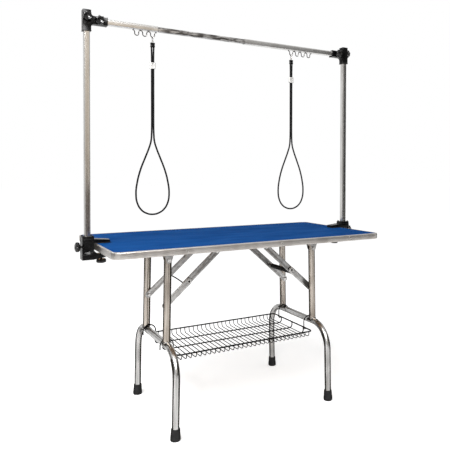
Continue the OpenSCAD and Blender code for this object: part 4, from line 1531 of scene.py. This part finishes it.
@dataclass
class Legs(Assembly):
    """Rubber feet and weld beads of the leg frames."""

    foot_x: float = 345.36 * MM
    sole_r: float = 19.5 * MM
    sole: float = 0.90
    profile: tuple[tuple[float, float], ...] = (
        (2.2, 1.09), (1.8, 1.02), (5.5, 0.995), (0.4, 0.965), (1.6, 1.0), (0.4, 1.03), (9.0, 0.945),
        (14.0, 0.945), (7.2, 0.985), (1.5, 0.955), (0.0, 0.872), (-5.0, 1.0))
    splay: float = math.tan(math.radians(1))
    bead_z: float = 334.5 * MM
    bead_x: float = 339.5 * MM
    bead_r: float = 15.0 * MM
    bead_t: float = 1.5 * MM
    bead_rough: float = 0.35 * MM
    bead_seed: int = 4
    bead_sag: Point = (1.04, 1.04, 1.3)

    def foot(self) -> Piece:
        """Models a foot about Z on the floor, leaning to +X going up.

        Returns:
            The foot.
        """
        foot = Piece.disc("foot_pattern", self.sole_r * self.sole, (0, 0, 0), 48).pick_faces()
        foot.stack([(rise * MM, growth) for rise, growth in self.profile], self.splay)
        return foot.outward().smooth(38.0)

    def bead(self) -> Piece:
        """Models a weld bead about Z with an uneven surface.

        Returns:
            The bead.
        """
        bead = Piece.ring("bead_pattern", self.bead_r, self.bead_t, (0, 0, 0), (64, 8))
        bead.pick(Pick.VERT, lambda c, n: True)
        bpy.ops.transform.vertex_random(offset=self.bead_rough, seed=self.bead_seed)
        bead.pick(Pick.VERT, lambda c, n: c.z < 0).grow(self.bead_sag, (0, 0, 0))
        return bead.outward().smooth(60.0)

    def build(self) -> None:
        """Builds feet and beads of both legs."""
        foot = self.foot().paint(self.palette.rubber)
        # The weld beads take the darker copy of the pressed steel, which is painted shade
        bead = self.bead().paint(self.palette.strip_shaded)
        for end in Side:
            lean = Matrix.Scale(-end.value, 4, (1, 0, 0))
            feet, beads = [], []
            for row, y in (("front", -1), ("rear", 1)):
                at = Matrix.Translation(Vector((end.value * self.foot_x, y * FOOT_Y, 0)))
                feet.append(foot.copy(f"{end.word}_{row}_foot", at @ lean))
                at = Matrix.Translation(Vector((end.value * self.bead_x, y * UPRIGHT_Y, self.bead_z)))
                beads.append(bead.copy(f"{end.word}_{row}_bead", at))
            feet[0].join(feet[1]).mount(f"{end.word}_leg", "black_rubber", f"{end.word}_feet")
            beads[0].join(beads[1]).mount(f"{end.word}_leg", "leg_steel")
        foot.drop()
        bead.drop()


@dataclass
class ReleaseGrip(Assembly):
    """Foam grip on the right leg's release bar."""

    grooves: int = 14
    groove: float = 0.95
    groove_side: float = 0.10
    end_r: float = 0.86
    tip_h: float = 1.2 * MM
    shoulder_h: float = 1.8 * MM
    shoulder: float = 1.12
    far_shoulder: float = 0.96
    far_tip: float = 0.90

    def build(self) -> None:
        """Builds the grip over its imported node."""
        low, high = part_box("right_release_grip")
        radius, length = (high[2] - low[2]) / 2, high[1] - low[1]
        grip = Piece.disc("right_grip_dressed", radius * self.end_r, (0, 0, 0), 36).pick_faces()
        tip, shoulder = self.tip_h, self.shoulder_h
        step = (length - 2 * (tip + shoulder)) / self.grooves
        side = step * self.groove_side
        near = [(0.0, 1.0), (tip, self.shoulder), (shoulder, 1 / (self.end_r * self.shoulder))]
        rib = [(step - 3 * side, 1.0), (side, self.groove), (side, 1.0), (side, 1 / self.groove)]
        far = [(shoulder, self.far_shoulder), (tip, self.far_tip)]
        grip.stack([*near, *rib * self.grooves, *far])
        grip.outward().smooth(35.0).paint(self.palette.foam)
        grip.obj.data.transform(aim(((low[0] + high[0]) / 2, low[1], (low[2] + high[2]) / 2), (0, 1, 0)))
        grip.mount("right_upper_brace", "black_rubber", "right_release_grip")


@dataclass
class Edging(Assembly):
    """Bent aluminium edging round the top, with its joint strip on the front."""

    corner: float = 30 * MM
    fold: float = 4 * MM
    lip: float = 9 * MM
    sheet: float = 1.5 * MM
    seam_x: float = -533 * MM
    half_w: float = 5 * MM
    proud: float = 0.5 * MM
    sunk: float = 0.6 * MM
    strip_rim: float = 1.0 * MM
    strip_edge: float = 0.15 * MM

    def build(self) -> None:
        """Builds the edging and its joint strip."""
        low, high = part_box("edge_trim")
        edging = Piece.block("edging", low, high)
        edging.pick(Pick.EDGE, lambda c, d: abs(d.z) > SQUARE).bevel(self.corner, 10)
        edging.pick(Pick.EDGE, lambda c, d: abs(d.z) < SQUARE).bevel(self.fold, 5)
        edging.pick(Pick.FACE, lambda c, n: abs(n.z) > FLAT).inset(self.lip - self.fold).sheet(self.sheet)
        edging.smooth(50.0).paint(self.palette.trim).mount("table", "trim_metal", "edge_trim")
        near = (self.seam_x - self.half_w, low[1] - self.proud, low[2] + self.fold)
        far = (self.seam_x + self.half_w, low[1] + self.sunk, high[2] - self.fold)
        strip = Piece.block("edging_joint", near, far)
        strip.pick(Pick.FACE, lambda c, n: n.y < -SQUARE).inset(self.strip_rim, self.strip_edge)
        strip.soften(self.strip_edge).smooth().paint(self.palette.trim).mount("table", "trim_metal")


@dataclass
class Braces(Assembly):
    """Pressed links and brackets with broken edges, and rivets with sunk ends."""

    broken: float = 0.7 * MM
    rim: float = 2.0 * MM
    slope: float = 0.4 * MM
    sunk: float = 2.2 * MM
    rivet_edge: float = 0.5 * MM

    def strips(self) -> None:
        """Breaks the edges of the links and brackets."""
        # The brackets and the upper links take the darker copy of the steel, which is painted shade
        plan = [(node, "table", self.palette.strip_shaded) for node in ("leg_brackets", "brace_brackets")]
        for end in Side:
            plan.append((f"{end.word}_upper_links", f"{end.word}_upper_brace", self.palette.strip_shaded))
            plan.append((f"{end.word}_lower_links", f"{end.word}_lower_brace", self.palette.strip))
        for node, body, material in plan:
            piece = Piece.trace(node).soften(self.broken, 2, 40.0).smooth(35.0)
            piece.paint(material).mount(body, "brace_steel", node)

    def rivets(self) -> None:
        """Sinks the ends of the rivets and colours the sunk ends dark, which is painted shade in the hollows.
        """
        for end in Side:
            for node, body in ((f"{end.word}_link_rivets", f"{end.word}_lower_brace"),
                               (f"{end.word}_leg_rivets", f"{end.word}_leg")):
                piece = Piece.trace(node).paint(self.palette.plated, self.palette.oxide_and_hollow_shade)
                reach = max(abs(v.co.y) for v in piece.obj.data.vertices) - 2 * TOUCH
                piece.pick(Pick.FACE, lambda c, n: abs(n.y) > FLAT and abs(c.y) > reach).inset(self.rim)
                # The sunk ends take the dark steel, which is painted shade in the hollows
                piece.dye(1).inset(self.slope, -self.sunk)
                piece.soften(self.rivet_edge, 2, 40.0).smooth(35.0).mount(body, "bright_metal", node)

    def build(self) -> None:
        """Builds links, brackets and rivets."""
        self.strips()
        self.rivets()


@dataclass
class PackedNodes(Assembly):
    """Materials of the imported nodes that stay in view."""

    def build(self) -> None:
        """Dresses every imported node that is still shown."""
        look = self.palette
        plan = {
            "rubber_mat": look.mat, "table_board": look.wood, "clamp_bolts": look.oxide_and_hollow_shade,
            "jaw_pads": look.rubber, "tray_rim": look.coat, "tray_cross_wires": look.coat,
            "left_release_wire": look.coat, "right_release_bar": look.strip,
        }
        for end in Side:
            word = end.word
            plan |= {
                f"{word}_uprights": look.upright, f"{word}_leg_arch": look.arch,
                # The hook rails take the plated wire that is darkened as painted dark reflection
                f"{word}_tray_hooks": look.coat, f"{word}_hook_rail": look.wire,
                f"{word}_pressure_pad": look.rubber,
            }
        for name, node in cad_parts.items():
            material = plan.get(name, look.plated)
            for slot in node.material_slots:
                slot.material = material
        log.info("packed nodes dressed")


def main() -> None:
    """Builds the looks in order."""
    logging.basicConfig(level=logging.INFO, format="%(name)s: %(message)s")
    free_hands()
    studio = Studio()
    studio.camera()
    palette = Palette()
    parts = [Noose(palette, Side.LEFT, wave_x=-352 * MM), Noose(palette, Side.RIGHT, wave_x=303 * MM)]
    kinds = (ArmTubes, Elbow, Knobs, Clamp, Legs, ReleaseGrip, Edging, Braces, PackedNodes)
    for part in [*parts, *(kind(palette) for kind in kinds)]:
        part.build()
    studio.build()


if __name__ == "__main__":
    main()
